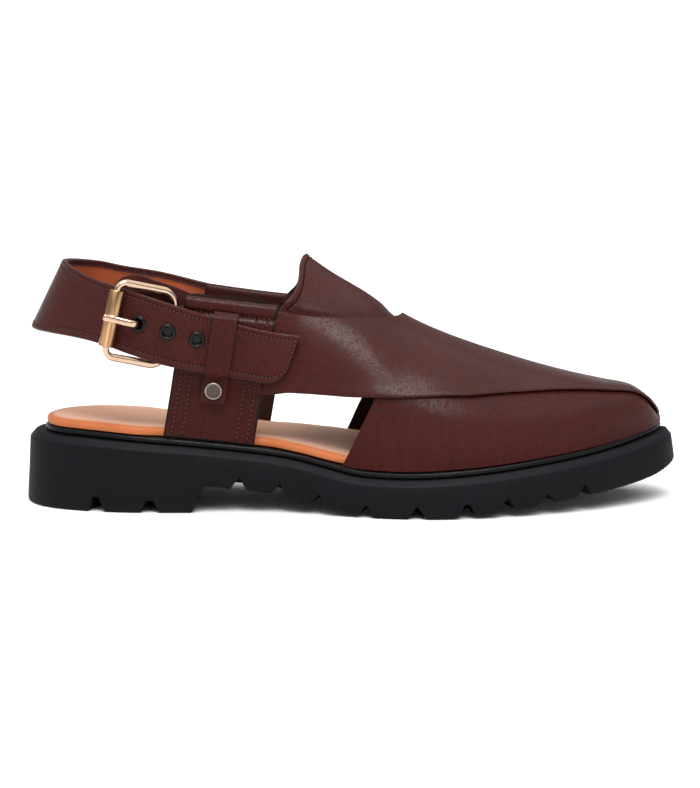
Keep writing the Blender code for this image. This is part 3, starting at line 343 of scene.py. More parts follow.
# %% The socket class
class Socket:
    """An output socket that takes part in arithmetic."""

    def __init__(self, tree, socket):
        self.tree, self.socket = tree, socket

    def node(self, kind, settings=None, outlet=0, **inlets):
        """Adds a node: settings first, then values or links for its sockets, by name or by number as _0, _1."""
        made = self.tree.nodes.new(kind)
        for key, value in (settings or {}).items():
            setattr(made, key, value)
        for key, value in inlets.items():
            inlet = made.inputs[int(key[1:])] if key[1:].isdigit() else made.inputs[key.replace("_", " ")]
            if isinstance(value, Socket):
                self.tree.links.new(value.socket, inlet)
            else:
                inlet.default_value = value
        return Socket(self.tree, made.outputs[outlet])

    def math(self, operation, *values):
        return self.node("ShaderNodeMath", {"operation": operation}, **{f"_{i}": v for i, v in enumerate(values)})

    def __add__(self, other):
        return self.math("ADD", self, other)

    def __radd__(self, other):
        return self.math("ADD", other, self)

    def __sub__(self, other):
        return self.math("SUBTRACT", self, other)

    def __rsub__(self, other):
        return self.math("SUBTRACT", other, self)

    def __mul__(self, other):
        return self.math("MULTIPLY", self, other)

    def __rmul__(self, other):
        return self.math("MULTIPLY", other, self)

    def clamped(self):
        return self.node("ShaderNodeClamp", Value=self)

    def step(self, low, high):
        """0 below low and 1 above high, or the other way round, with a soft turn."""
        kind = {"interpolation_type": "SMOOTHSTEP"}
        if low > high:
            return 1 - self.step(high, low)
        return self.node("ShaderNodeMapRange", kind, Value=self, From_Min=low, From_Max=high)

    def mix(self, first, second):
        """Colour between first and second by this socket."""
        kind = {"data_type": "RGBA"}
        return self.node("ShaderNodeMix", kind, outlet=2, _0=self, _6=first, _7=second)

    def scaled(self, size):
        """These coordinates, scaled along each axis."""
        return self.node("ShaderNodeMapping", Vector=self, Scale=size)

    def noise(self, scale, detail=4.0, roughness=0.55):
        return self.node("ShaderNodeTexNoise", Vector=self, Scale=scale, Detail=detail, Roughness=roughness)

    def cells(self, scale):
        return self.node("ShaderNodeTexVoronoi", {"feature": "F1"}, Vector=self, Scale=scale)

    def bump(self, strength, distance):
        return self.node("ShaderNodeBump", Strength=strength, Distance=distance, Height=self)


print("a socket can be:", ", ".join(name for name in vars(Socket) if not name.startswith("_")))


# %% Colours and finishes
def shade(red, green, blue):
    """Linear colour from an sRGB one."""
    linear = (c / 12.92 if c <= 0.04045 else ((c + 0.055) / 1.055) ** 2.4 for c in (red, green, blue))
    return (*linear, 1.0)


def finish(name, constants, build):
    """A Principled finish: constants go on its own sockets, and build gives what changes over the surface."""
    material = bpy.data.materials.new(name)
    material.use_nodes = True
    tree = material.node_tree
    shader = tree.nodes["Principled BSDF"]
    for key, value in constants.items():
        shader.inputs[key].default_value = value
    start = Socket(tree, None)
    for key, value in build(start).items():
        tree.links.new(value.socket, shader.inputs[key])
    return material


print("mid grey is", round(shade(0.5, 0.5, 0.5)[0], 3), "in linear colour")


# %% What a finish reads from its piece
def flat_map(start):
    """The flat map, in metres along and across the grain."""
    return start.node("ShaderNodeUVMap", {"uv_map": "grain"})


def place(start):
    """The point's own coordinates, in metres."""
    return start.node("ShaderNodeTexCoord", outlet=3)


def edge_distance(start):
    return start.node("ShaderNodeAttribute", {"attribute_name": "edge"}, outlet=2)


def seam_distance(start):
    return start.node("ShaderNodeAttribute", {"attribute_name": "seam"}, outlet=2)


print("read by name: grain, edge, seam")

# %% [markdown]
# ## The leathers
# The upper is polished box leather in a dark reddish brown. Its grain was brushed while the colour was wet, so fine
# straight lines run across each pattern piece: a noise stretched a hundred times one way gives them. The lines tint
# the colour, roughen the gloss and stand up a few hundredths of a millimetre. A clear coat gives the polish, and it
# lies on the surfaces that face up, where a brush and a cloth reach. Beside a seam the colour is darker:
# painted shade in the valley that the thread pulls, where shade falls.

# %% Brown leather
# The third colour is painted shade, laid in the valley beside a seam.
LEATHER_DARK, LEATHER_LIGHT, GROOVE_SHADE = (0.150, 0.031, 0.022), (0.330, 0.092, 0.064), (0.07, 0.02, 0.02)
GROOVE_HALF_WIDTH = (0.0007, 0.0001)


def brushed_lines(start):
    """Fine straight lines along the flat map's first axis, in two sizes."""
    flat = flat_map(start)
    sway = flat.noise(14.0, 2.0) * 0.0016
    swayed = flat.node("ShaderNodeVectorMath", {"operation": "ADD"}, _0=flat,
                       _1=start.node("ShaderNodeCombineXYZ", Y=sway))
    fine = swayed.scaled((80.0, 2200.0, 1.0)).noise(1.0, 3.0, 0.65)
    broad = swayed.scaled((30.0, 760.0, 1.0)).noise(1.0, 2.0, 0.5)
    return fine * 0.65 + broad * 0.35


def brown_leather(name, depth, line_strength=1.0, edge_width=0.0):
    """Polished brown leather; with an edge width, its rim is painted black that far in."""

    def build(start):
        lines = brushed_lines(start)
        spot = place(start)
        cloud = spot.noise(24.0, 3.0)
        pebble = spot.noise(1150.0, 3.0, 0.65)
        contrast = lines.step(0.42, 0.58)
        # Painted shade: within a seam's valley the colour is darkened.
        groove_shade = seam_distance(start).step(*GROOVE_HALF_WIDTH)
        tone = (contrast * (0.32 * line_strength) + pebble.step(0.2, 0.8) * 0.25 + cloud * 0.4 - 0.08).clamped()
        dark, light = (shade(*(c * depth for c in tint)) for tint in (LEATHER_DARK, LEATHER_LIGHT))
        colour = (groove_shade * 0.75).mix(tone.mix(dark, light), shade(*GROOVE_SHADE))
        gloss = 0.34 + contrast * (0.10 * line_strength) + pebble * 0.16 - cloud * 0.06
        outward = start.node("ShaderNodeNewGeometry", outlet=1)
        facing_up = start.node("ShaderNodeSeparateXYZ", outlet=2, Vector=outward)
        rubbed = pebble.step(0.20, 0.80) * 0.34 + 0.06 - contrast * (0.12 * line_strength)
        polish = facing_up.step(-0.1, 0.5) * rubbed * (1 - groove_shade)
        if edge_width:
            wander = spot.noise(240.0, 2.0) * 0.0005
            painted = (edge_distance(start) + wander).step(edge_width + 0.0004, edge_width - 0.0002)
            colour = painted.mix(colour, shade(0.035, 0.028, 0.03))
        raised = lines * line_strength + pebble * 1.1
        return {"Base Color": colour, "Roughness": gloss, "Coat Weight": polish.clamped(),
                "Normal": raised.bump(1.0, 0.00050)}

    return finish(name, {"Specular IOR Level": 0.14, "Coat Roughness": 0.23}, build)


# One leather in three copies, and depth darkens a copy's colour. BROWN's lower depth is painted shade, set for the heel
# strap's back and the keeper, which stand in shade; the black-edged copy is darker still.
BROWN = brown_leather("brown_leather", 0.94)
BROWN_PEBBLED = brown_leather("brown_leather_pebbled", 1.0, line_strength=0.55)
BROWN_BLACK_EDGED = brown_leather("brown_leather_black_edged", 0.91, edge_width=0.0010)
print("leathers:", BROWN.name, BROWN_PEBBLED.name, BROWN_BLACK_EDGED.name)


# %% Cut edges, linings and thread
def turned_edge_leather(start):
    rough = place(start).noise(700.0, 2.0)
    colour = rough.mix(shade(0.15, 0.05, 0.04), shade(0.27, 0.10, 0.08))
    return {"Base Color": colour, "Roughness": 0.34 + rough * 0.2, "Normal": rough.bump(0.3, 0.0002)}


def black_edge(start):
    rough = place(start).noise(500.0, 2.0)
    colour = rough.mix(shade(0.03, 0.025, 0.025), shade(0.07, 0.05, 0.05))
    return {"Base Color": colour, "Roughness": 0.3 + rough * 0.25}


def tan_lining(start):
    spot = place(start)
    pores, cloud = spot.cells(900.0), spot.noise(40.0)
    colour = cloud.mix(shade(0.55, 0.24, 0.11), shade(0.68, 0.34, 0.18))
    return {"Base Color": colour, "Roughness": 0.5 + cloud * 0.15, "Normal": pores.bump(0.35, 0.0002)}


def brown_lining(start):
    spot = place(start)
    nap, cloud = spot.noise(900.0, 3.0), spot.noise(30.0)
    colour = (nap * 0.6 + cloud * 0.4).mix(shade(0.11, 0.05, 0.04), shade(0.23, 0.12, 0.09))
    return {"Base Color": colour, "Roughness": 0.7 + nap * 0.15, "Normal": nap.bump(0.4, 0.0003)}


def dark_thread(start):
    twist = place(start).noise(2600.0, 1.0)
    colour = twist.mix(shade(0.15, 0.065, 0.06), shade(0.37, 0.20, 0.18))
    return {"Base Color": colour, "Normal": twist.bump(0.5, 0.0002)}


TURNED_EDGE = finish("turned_edge", {"Specular IOR Level": 0.35}, turned_edge_leather)
BLACK_EDGE = finish("black_edge", {"Specular IOR Level": 0.35}, black_edge)
TAN_LINING = finish("tan_lining", {"Specular IOR Level": 0.3}, tan_lining)
BROWN_LINING = finish("brown_lining", {"Specular IOR Level": 0.2}, brown_lining)
THREAD = finish("dark_thread", {"Roughness": 0.55, "Specular IOR Level": 0.3}, dark_thread)
print("edges:", TURNED_EDGE.name, BLACK_EDGE.name, "linings:", TAN_LINING.name, BROWN_LINING.name, "and", THREAD.name)

# %% [markdown]
# ## The sole's rubber and the footbed
# The lug sole is matt black rubber with a faint moulded grain. Its rim is painted paler, a painted highlight
# where it catches the light from above. The thin band between it and the leather is glossy. The footbed is soft
# tan leather whose edge, turned under, is a deeper orange. Each is one finish that reads how far a point is from
# the rim, so no seam shows where one tone passes into the other.

# %% Rubber, rand and footbed leather
def rubber(start):
    spot = place(start)
    grain, cloud = spot.noise(1500.0, 3.0), spot.noise(60.0)
    height = spot.node("ShaderNodeSeparateXYZ", outlet=2, Vector=spot)
    # rim is 1 on the chamfer, whose paler colour is a painted highlight for the light from above.
    rim = edge_distance(start).step(0.5, 0.9)
    black = cloud.mix(shade(0.040, 0.041, 0.054), shade(0.065, 0.067, 0.083))
    colour = rim.mix(black, shade(0.080, 0.083, 0.098))
    # Within 6 mm of the floor the rubber is paler in patches.
    paler_near_floor = height.step(0.006, 0.0) * cloud
    return {
        "Base Color": (paler_near_floor * 0.25).mix(colour, shade(0.13, 0.13, 0.14)),
        "Roughness": 0.55 + grain * 0.16 - rim * 0.10,
        "Normal": (grain + cloud * 0.3).bump(0.25, 0.0003),
    }


def gloss_band(start):
    spot = place(start)
    ripple, glints = spot.noise(320.0, 2.0), spot.noise(1100.0, 2.0)
    return {"Roughness": 0.22 + ripple * 0.30, "Normal": (ripple * 0.5 + glints * 0.5).bump(0.6, 0.0006)}


def footbed(start):
    spot = place(start)
    pores, cloud = spot.cells(1000.0), spot.noise(34.0)
    stretch = spot.noise(8.0, 2.0)
    turned = edge_distance(start).step(0.0052, 0.0024)
    tone = cloud * 0.6 + pores * 0.25 + stretch * 0.2
    top = tone.mix(shade(0.77, 0.57, 0.46), shade(0.90, 0.71, 0.60))
    side = cloud.mix(shade(0.64, 0.33, 0.17), shade(0.78, 0.46, 0.27))
    colour, gloss = turned.mix(top, side), 0.46 + cloud * 0.14
    return {"Base Color": colour, "Roughness": gloss, "Normal": pores.bump(0.25, 0.00018)}


RUBBER = finish("black_rubber", {"Specular IOR Level": 0.10}, rubber)
RAND = finish("gloss_rand", {"Base Color": shade(0.022, 0.022, 0.026), "Specular IOR Level": 0.16}, gloss_band)
FOOTBED = finish("footbed_leather", {"Specular IOR Level": 0.25}, footbed)
print("sole and footbed:", RUBBER.name, RAND.name, FOOTBED.name)

# %% [markdown]
# ## The metals
# Frame, prong and roller are gold plated. Handling leaves hair scratches, which only change the gloss, and the roller
# turns under the strap, so its scratches run round it. Its colour has dark and light streaks along its length:
# painted reflections of what stands around a polished cylinder. The eyelets are enamelled black, and the rivet is a
# plain nickel cap that has darkened. The shapes carry most of the look here, because metal shows what stands around
# it, so the other finishes stay plain.

# %% Gold, enamel and nickel
def scratched(start, along_axis):
    return place(start).scaled(along_axis).noise(1.0, 4.0, 0.7)


def gold(start):
    marks = scratched(start, (900.0, 900.0, 260.0))
    colour = marks.mix(shade(0.74, 0.60, 0.49), shade(0.91, 0.80, 0.70))
    return {"Base Color": colour, "Roughness": 0.06 + marks * 0.14, "Normal": marks.bump(0.06, 0.0001)}


def gold_with_painted_reflections(start):
    # Dark and light bands of colour along the roller are painted reflections; the same noise roughens the gloss for
    # scratches.
    scratch_and_reflection_streak = flat_map(start).scaled((10.0, 420.0, 1.0)).noise(1.0, 3.0, 0.6)
    colour = scratch_and_reflection_streak.step(0.35, 0.65).mix(shade(0.50, 0.34, 0.21), shade(0.90, 0.73, 0.55))
    return {"Base Color": colour, "Roughness": 0.12 + scratch_and_reflection_streak * 0.18, "Normal": scratch_and_reflection_streak.bump(0.15, 0.0002)}


def enamel(start):
    haze = place(start).noise(800.0, 2.0)
    return {"Roughness": 0.12 + haze * 0.2}


def old_nickel(start):
    marks = scratched(start, (1500.0, 500.0, 1500.0))
    # The cap's rim is coloured paler.
    paler_rim = edge_distance(start).step(0.0006, 0.0002)
    colour = marks.mix(shade(0.27, 0.23, 0.22), shade(0.40, 0.35, 0.33))
    return {"Base Color": paler_rim.mix(colour, shade(0.62, 0.57, 0.54)), "Roughness": 0.24 + marks * 0.22}


GOLD = finish("gold_plate", {"Metallic": 1.0}, gold)
GOLD_WITH_PAINTED_REFLECTIONS = finish("gold_with_painted_reflections", {"Metallic": 1.0}, gold_with_painted_reflections)
ENAMEL_LOOK = {"Base Color": shade(0.008, 0.008, 0.01), "Coat Weight": 0.12, "Specular IOR Level": 0.20}
ENAMEL = finish("black_enamel", ENAMEL_LOOK, enamel)
NICKEL = finish("old_nickel", {"Metallic": 1.0}, old_nickel)
print("metals:", GOLD.name, GOLD_WITH_PAINTED_REFLECTIONS.name, ENAMEL.name, NICKEL.name)

# %% [markdown]
# ## The lug sole
# The sole is one ring of points round the outline, repeated from the underside up over the rim and in across the
# ledge. The notches are steps in the underside's height near the edge, so they need points exactly at their corners:
# each side is cut into spans there, and both sides get the same number of points, so the middle can be bridged.
# Cutting the notches out of a plain block would work too, but it leaves slivers that catch the light.

# %% Points round the outline
NOTCH_REACH = 0.0170
# Station, width, depth, flat of the root and lean towards the toe; all but the station are shares of NOTCH_REACH.
NOTCHES = (
    (0.1142, 0.48, 0.38, 0.15, 0.00), (0.1954, 0.50, 0.31, 0.19, 0.00), (0.3285, 0.44, 0.32, 0.02, 0.03),
    (0.3884, 0.40, 0.33, 0.02, 0.07), (0.4500, 0.52, 0.31, 0.02, 0.04), (0.5209, 0.43, 0.30, 0.02, 0.02),
    (0.5964, 0.50, 0.32, 0.03, 0.00), (0.6702, 0.48, 0.31, 0.15, 0.00), (0.7285, 0.56, 0.30, 0.06, 0.03),
    (0.7911, 0.58, 0.25, 0.06, 0.00), (0.8483, 0.42, 0.29, 0.06, 0.00),
)
HEEL_BREAST = (0.2566, 0.2765)
# Points in the lug before a notch, its two slopes and its root, then in the heel's breast and round the toe.
NOTCH_COUNTS, BREAST_COUNTS, TOE_COUNT = [12, 5, 3, 5], [10, 6], 230


def half_outline(side):
    """One side's points, arc lengths and inward directions, from heel to toe."""
    heel, toe = outline[:, 0].argmin(), outline[:, 0].argmax()
    if side == LATERAL:
        order = np.arange(heel, heel + (toe - heel) % OUTLINE_POINTS + 1) % OUTLINE_POINTS
    else:
        order = np.arange(heel + OUTLINE_POINTS, toe - 1, -1) % OUTLINE_POINTS
    return outline[order], lengths(outline[order]), outline_inward[order]


def side_points(side):
    """Points of one side with a point at each notch corner: position, inward direction and notch depth."""
    points, arc, inward = half_outline(side)

    def arc_at(station):
        return np.interp(station * SOLE_LENGTH, np.maximum.accumulate(points[:, 0]), arc)

    knots, depths, counts = [0.0], [0.0], []
    for station, width, depth, flat, lean in NOTCHES:
        middle = arc_at(station)
        half, root, shift = (value * NOTCH_REACH for value in (width / 2, flat / 2, lean))
        knots += [middle - half, middle - root + shift, middle + root + shift, middle + half]
        depths += [0.0, depth * NOTCH_REACH, depth * NOTCH_REACH, 0.0]
        counts += NOTCH_COUNTS
        if station == NOTCHES[1][0]:
            knots += [arc_at(s) for s in HEEL_BREAST]
            depths += [0.0, 0.0]
            counts += BREAST_COUNTS
    knots.append(arc[-1])
    depths.append(0.0)
    counts.append(TOE_COUNT)
    share = [a + (b - a) * np.arange(count) / count for a, b, count in zip(knots, knots[1:], counts)]
    share = np.concatenate(share + [[arc[-1]]])
    return read_at(share, arc, points), unit(read_at(share, arc, inward)), np.interp(share, knots, depths)


outer_half, inner_half = side_points(LATERAL), side_points(MEDIAL)
RING = [np.concatenate([a, b[-2:0:-1]]) for a, b in zip(outer_half, inner_half)]
HALF_COUNT = len(outer_half[0])
print(f"{len(RING[0])} points round the sole")


# %% Rings and the points across them
FULL_SPAN = 0.045


def ring_at(inset, height):
    """The ring moved in by inset, at heights that depend on x."""
    spot, normal, _ = RING
    flat = spot + normal * np.broadcast_to(inset, len(spot))[:, None]
    return np.concatenate([flat, height(spot[:, 0])[:, None]], 1)


def bridge(ring, crown, columns):
    """Points across the middle of a ring, from its outer to its inner side, raised by crown in the middle."""
    outer = ring[1 : HALF_COUNT - 1]
    inner = ring[: HALF_COUNT - 1 : -1][: len(outer)]
    share = (np.arange(1, columns) / columns)[:, None, None]
    rows = outer + (inner - outer) * share
    span = np.clip(np.linalg.norm(inner - outer, axis=1) / FULL_SPAN, 0, 1)
    rows[..., 2] += crown * np.sin(np.pi * share[..., 0]) * span**2
    return rows


def cap_faces(count, start, columns, ring_start):
    """Faces that close a ring with its bridge's points."""
    inside = HALF_COUNT - 2
    outer = np.arange(1, HALF_COUNT - 1) + ring_start
    inner = (count - np.arange(1, HALF_COUNT - 1)) + ring_start
    middle = np.arange((columns - 1) * inside).reshape(columns - 1, inside) + start
    rows = np.concatenate([outer[None], middle, inner[None]])
    faces = np.stack([rows[:-1, :-1], rows[:-1, 1:], rows[1:, 1:], rows[1:, :-1]], -1).reshape(-1, 4)
    heel, toe = (rows[:, k].tolist() for k in (0, inside - 1))
    ends = [(ring_start, a, b) for a, b in zip(heel, heel[1:])]
    ends += [(ring_start + HALF_COUNT - 1, b, a) for a, b in zip(toe, toe[1:])]
    return [tuple(f) for f in faces.tolist()] + ends


# %% A body from rings
BRIDGE_COLUMNS = 14


def ring_body(name, rings, crown, finishes, slot, replaces, edges=None, smooth_angle=40):
    """A closed body from rings, bottom to top, both ends bridged across and the top one crowned."""
    count = len(rings[0])
    if edges is None:
        edges = [FAR_AWAY] * len(rings)
    points, edge = [np.concatenate(rings)], [np.repeat(edges, count)]
    faces = grid_faces(len(rings), count, closed=True)
    start = len(rings) * count
    for k, rise, far in ((0, 0.0, FAR_AWAY), (len(rings) - 1, crown, edges[-1])):
        across = bridge(rings[k], rise, BRIDGE_COLUMNS).reshape(-1, 3)
        cap = cap_faces(count, start, BRIDGE_COLUMNS, k * count)
        faces += cap if k else [f[::-1] for f in cap]
        points.append(across)
        edge.append(np.full(len(across), far))
        start += len(across)
    return solid(name, np.concatenate(points), faces, finishes, slot, replaces, edge=np.concatenate(edge),
                 smooth_angle=smooth_angle)


print("the ring is", round(lengths(ring_at(0.0, sole_top))[-1] / MM), "mm round")

# %% The outsole
SOLE_FLARE, BOTTOM_BEVEL, RIM_CHAMFER = 0.0018, 0.0015, 0.0026
TOOTH_START, TOOTH_PITCH, TOOTH_DEPTH = 0.266, 0.0013, 0.0007
ROOT_SOFTNESS = 0.0006


def notch_step(x):
    """Height of the notches over the underside, with the fine teeth that run round the toe."""
    teeth = np.where(x > TOOTH_START, np.abs((x / TOOTH_PITCH) % 1.0 - 0.5) * 2 * TOOTH_DEPTH, 0.0)
    return RING[2] + teeth


# Rings from the underside through the notches, up the side and over the chamfer to the ledge.
reach = np.minimum(np.abs(RING[0][:, 1]) * 0.55 + 0.002, NOTCH_REACH)
outsole_rings = [
    ring_at(reach + 0.0004, sole_bottom),
    ring_at(reach, lambda x: sole_bottom(x) + 0.9 * notch_step(x)),
    ring_at(reach - ROOT_SOFTNESS, lambda x: sole_bottom(x) + notch_step(x)),
    ring_at(BOTTOM_BEVEL + ROOT_SOFTNESS - SOLE_FLARE, lambda x: sole_bottom(x) + notch_step(x)),
    ring_at(0.25 * BOTTOM_BEVEL - SOLE_FLARE, lambda x: sole_bottom(x) + 0.3 * BOTTOM_BEVEL + notch_step(x)),
    ring_at(-SOLE_FLARE, lambda x: sole_bottom(x) + BOTTOM_BEVEL + notch_step(x)),
    ring_at(-0.5 * SOLE_FLARE, lambda x: 0.5 * (sole_bottom(x) + notch_step(x) + sole_top(x))),
    ring_at(-0.1 * SOLE_FLARE, lambda x: sole_top(x) - RIM_CHAMFER - 0.0006),
    ring_at(0.0002, lambda x: sole_top(x) - RIM_CHAMFER),
    ring_at(RIM_CHAMFER - 0.0004, lambda x: sole_top(x) - 0.0003),
    ring_at(RIM_CHAMFER, sole_top),
    ring_at(RIM_CHAMFER + 0.006, sole_top),
]
# Here the edge's number marks the chamfer, painted paler as a painted highlight from the light above.
CHAMFER_HIGHLIGHT_MASK = [0, 0, 0, 0, 0, 0, 0, 0, 1, 1, 0.3, 0]
ring_body("lug_sole", outsole_rings, 0.0, [RUBBER], "rubber", ["outsole"], edges=CHAMFER_HIGHLIGHT_MASK, smooth_angle=28)

# %% [markdown]
# ## Rand and footbed
# The rand is a thin band whose edge is rounded and a touch uneven, as it is where glue and finish meet the leather.
# The footbed is a pad: its top dips in the middle and rises along the inner edge under the arch. Both come from rings
# like the sole's, so they follow its outline at any size. A cloth simulation would pad the footbed as well, but a board
# under the leather keeps the real one almost flat.

# %% The rand
MIDSOLE_INSET = 0.0040
MIDSOLE_EDGE = ((0.000, 0.80), (0.100, 0.35), (0.200, 0.00), (0.830, 0.00), (1.000, 0.25))
ring_station = RING[0][:, 0] / SOLE_LENGTH
rand_inset = MIDSOLE_INSET * (1 + curve(MIDSOLE_EDGE, ring_station))
# Distance in from the band's side, and the share of its thickness.
RAND_SECTION = (
    (0.0020, 0.0), (0.0004, 0.0), (0.0, 0.18), (-0.0002, 0.5), (0.0001, 0.85), (0.0007, 1.0), (0.003, 1.0),
)
rand_rings = [
    ring_at(rand_inset + inward, lambda x, rise=rise: sole_top(x) + SEAT_GAP / 2 + rise * MIDSOLE_THICKNESS)
    for inward, rise in RAND_SECTION
]
ring_body("rand", rand_rings, 0.0, [RAND], "black_rand", ["midsole"])

# %% The footbed
INSOLE_THICKNESS, ARCH_RISE = 0.0040, 0.0022
INSOLE_EDGE = (
    (0.000, 1.15), (0.100, 0.90), (0.172, 0.76), (0.215, 1.13), (0.372, 1.13), (0.410, 0.86), (0.455, 0.88),
    (0.490, 1.16), (1.000, 1.20),
)
footbed_inset = LAST_INSET * curve(INSOLE_EDGE, ring_station)
near_arch = np.clip(1 - np.abs(ring_station - 0.50) / 0.14, 0, 1)
arch = ARCH_RISE * near_arch**2 * (3 - 2 * near_arch) * np.clip(RING[0][:, 1] / (0.35 * BALL_WIDTH), 0, 1.3)
# Distance in from the footbed's side, share of its thickness, and running distance from its lower edge.
FOOTBED_SECTION = (
    (0.0010, 0.0, 0.0), (0.0, 0.10, 0.0), (-0.0003, 0.45, 0.0003), (0.0001, 0.74, 0.0012), (0.0007, 0.90, 0.0022),
    (0.0016, 0.98, 0.0032), (0.0030, 1.0, 0.0042), (0.0060, 0.98, 0.007), (0.0100, 0.95, 0.011),
)
FOOTBED_BASE, FOOTBED_DIP = MIDSOLE_THICKNESS + 1.5 * SEAT_GAP, -0.0012
footbed_thickness = INSOLE_THICKNESS + arch
footbed_rings = [
    ring_at(footbed_inset + inward, lambda x, rise=rise: sole_top(x) + FOOTBED_BASE + rise * footbed_thickness)
    for inward, rise, _ in FOOTBED_SECTION
]
ring_body("footbed", footbed_rings, FOOTBED_DIP, [FOOTBED], "insole_leather", ["insole"],
          edges=[far for _, _, far in FOOTBED_SECTION])

# %% [markdown]
# ## Leather sheets
# A sheet lies between two offsets over a surface. Its points crowd towards the cut edges, where both faces fall away
# along a quarter circle, so each edge catches the light as real leather does. The flat map is laid in true metres and
# turned to the way the grain was brushed. A solidify and a bevel modifier would give the thickness too, but not the
# exact edge that two crossing layers need.

# %% The sheet builder
# Distances from a cut edge at which a sheet gets a row of points: for a plain edge, and for one with a sewn bead.
EDGE_MARKS = (0.0, 0.00008, 0.00025, 0.0005, 0.0009, 0.0015, 0.0022)
BEAD_MARKS = (0.0, 0.00008, 0.00025, 0.0005, 0.0009, 0.0014, 0.0019, 0.0023, 0.0026, 0.0029, 0.0033, 0.0040)
# Share of an edge's radius that takes the edge's own finish.
RIM_SHARE = 0.35


def sheet(name, surface, under, over, radius, counts, finishes, replaces, turn=0.0, flat_map_of=None,
          marks=EDGE_MARKS, relief=None, margin=0.0, seams=None):
    """A closed piece of leather between two offsets over surface(u, v, offset), its edges rounded.

    Its finishes are for the face, the edge and the back. margin is how far the face's leather is turned over the
    back, and seams gives the distance to the nearest row of stitches.
    """
    probe = np.linspace(0, 1, 41)
    probe_u, probe_v = np.meshgrid(probe, probe, indexing="ij")
    wide = surface(probe_u, probe_v, np.zeros_like(probe_u))
    length = lengths(wide, 0)[-1].mean()
    u = spaced(length, marks, counts[0])
    width = np.interp(u, probe, lengths(wide, 1)[:, -1])
    v = np.stack([spaced(w, marks, counts[1]) for w in width])
    u = np.broadcast_to(u[:, None], v.shape)
    edge = np.minimum(np.minimum(u, 1 - u) * length, np.minimum(v, 1 - v) * width[:, None])
    fall = rounding(edge, radius)
    raised = relief(u, v, edge) if relief else 0.0
    top, bottom = surface(u, v, over - fall + raised), surface(u, v, under + fall + raised)
    flat = flat_map_of(u, v) if flat_map_of else np.stack([lengths(top, 0), lengths(top, 1)], -1)
    flat = flat @ np.array([[math.cos(turn), -math.sin(turn)], [math.sin(turn), math.cos(turn)]])
    rows, columns = v.shape
    faces = grid_faces(rows, columns)
    back = [f[::-1] for f in grid_faces(rows, columns, start=rows * columns)]
    index = np.arange(rows * columns).reshape(rows, columns)
    border = np.concatenate([index[0, :-1], index[:-1, -1], index[-1, :0:-1], index[:0:-1, 0]])
    ahead = np.roll(border, -1)
    rim = [(a, a + rows * columns, b + rows * columns, b) for a, b in zip(border.tolist(), ahead.tolist())]
    inside = edge[:-1, :-1].ravel()
    face = np.where(inside < RIM_SHARE * radius, 1, 0)
    rear = np.where(inside < RIM_SHARE * radius, 1, np.where(inside < margin, 0, 2))
    finish_of = np.concatenate([face, rear, np.ones(len(rim))])
    maps = np.concatenate([flat.reshape(-1, 2), flat.reshape(-1, 2)])
    return solid(name, np.concatenate([top.reshape(-1, 3), bottom.reshape(-1, 3)]), faces + back + rim, finishes,
                 "brown_leather", replaces, finish_of=finish_of, maps=maps, edge=np.tile(edge.ravel(), 2),
                 seam=None if seams is None else np.tile(seams(u, v, edge).ravel(), 2))


print("points near an edge stand", np.round(np.diff(EDGE_MARKS) / MM, 2), "mm apart")

# %% [markdown]
# ## The crossed bands
# Each band starts as a narrow arm beside the buckle, widens over the instep and ends along the sole on the other
# side. The inner arm's band lies below, the outer arm's band on top. Their front edges sweep in one long line to the
# toe, which is the line that gives this shoe its look, so that edge is drawn point by point. Cloth laid over the last
# would fall into place by itself, but its edges would end where they like.

# %% Pattern lines of the bands
BUCKLE_LENGTH, BUCKLE_HEIGHT = 0.0246, 0.0342
BUCKLE_SLOPE = math.radians(-12.5)
ROLLER_MIDDLE = (0.1487, 0.774)
ARM_END_LOW, ARM_END_HIGH = (0.0003, 0.826), (0.0047, 0.723)
# Station and girth along each edge, from the arm over the ridge to the other side's sole line.
FRONT_EDGE = (
    (0.298, 0.872), (0.345, 0.889), (0.3775, 0.884), (0.422, 0.843), (0.467, 0.806), (0.519, 0.765),
    (0.571, 0.715), (0.630, 0.663), (0.679, 0.630), (0.727, 0.580), (0.777, 0.532), (0.8275, 0.480),
    (0.890, 0.436), (0.937, 0.385), (0.965, 0.250), (0.9735, -0.250), (0.9760, -0.600), (0.9768, -1.000),
)
UNDER_TOE = ((0.937, 0.385), (0.962, 0.330), (0.9715, 0.150), (0.9750, -0.350), (0.9762, -1.000))
REAR_EDGE = (
    (0.298, 0.702), (0.389, 0.617), (0.420, 0.552), (0.4625, 0.473), (0.5055, 0.386),
    (0.543, 0.270), (0.566, 0.100), (0.573, -0.080), (0.568, -0.250), (0.558, -0.420), (0.5475, -0.560),
    (0.534, -0.749), (0.5205, -0.840), (0.5085, -0.902), (0.497, -0.957), (0.4868, -1.000),
)
MEDIAL_SHIFT, SHIFT_MIDDLE, SHIFT_REACH = 0.0050, 0.42, 0.20
TOE_CROWDING = 1.35
UNDER_BAND, OVER_BAND_TOP = 0.0019, 0.0033
GIRTH_LENGTH = 0.080


def hinge_station(ahead):
    """Station of the arm's end, where the buckle's hinge bar is."""
    return ROLLER_MIDDLE[0] + (BUCKLE_LENGTH * math.cos(BUCKLE_SLOPE) + ahead) / SOLE_LENGTH


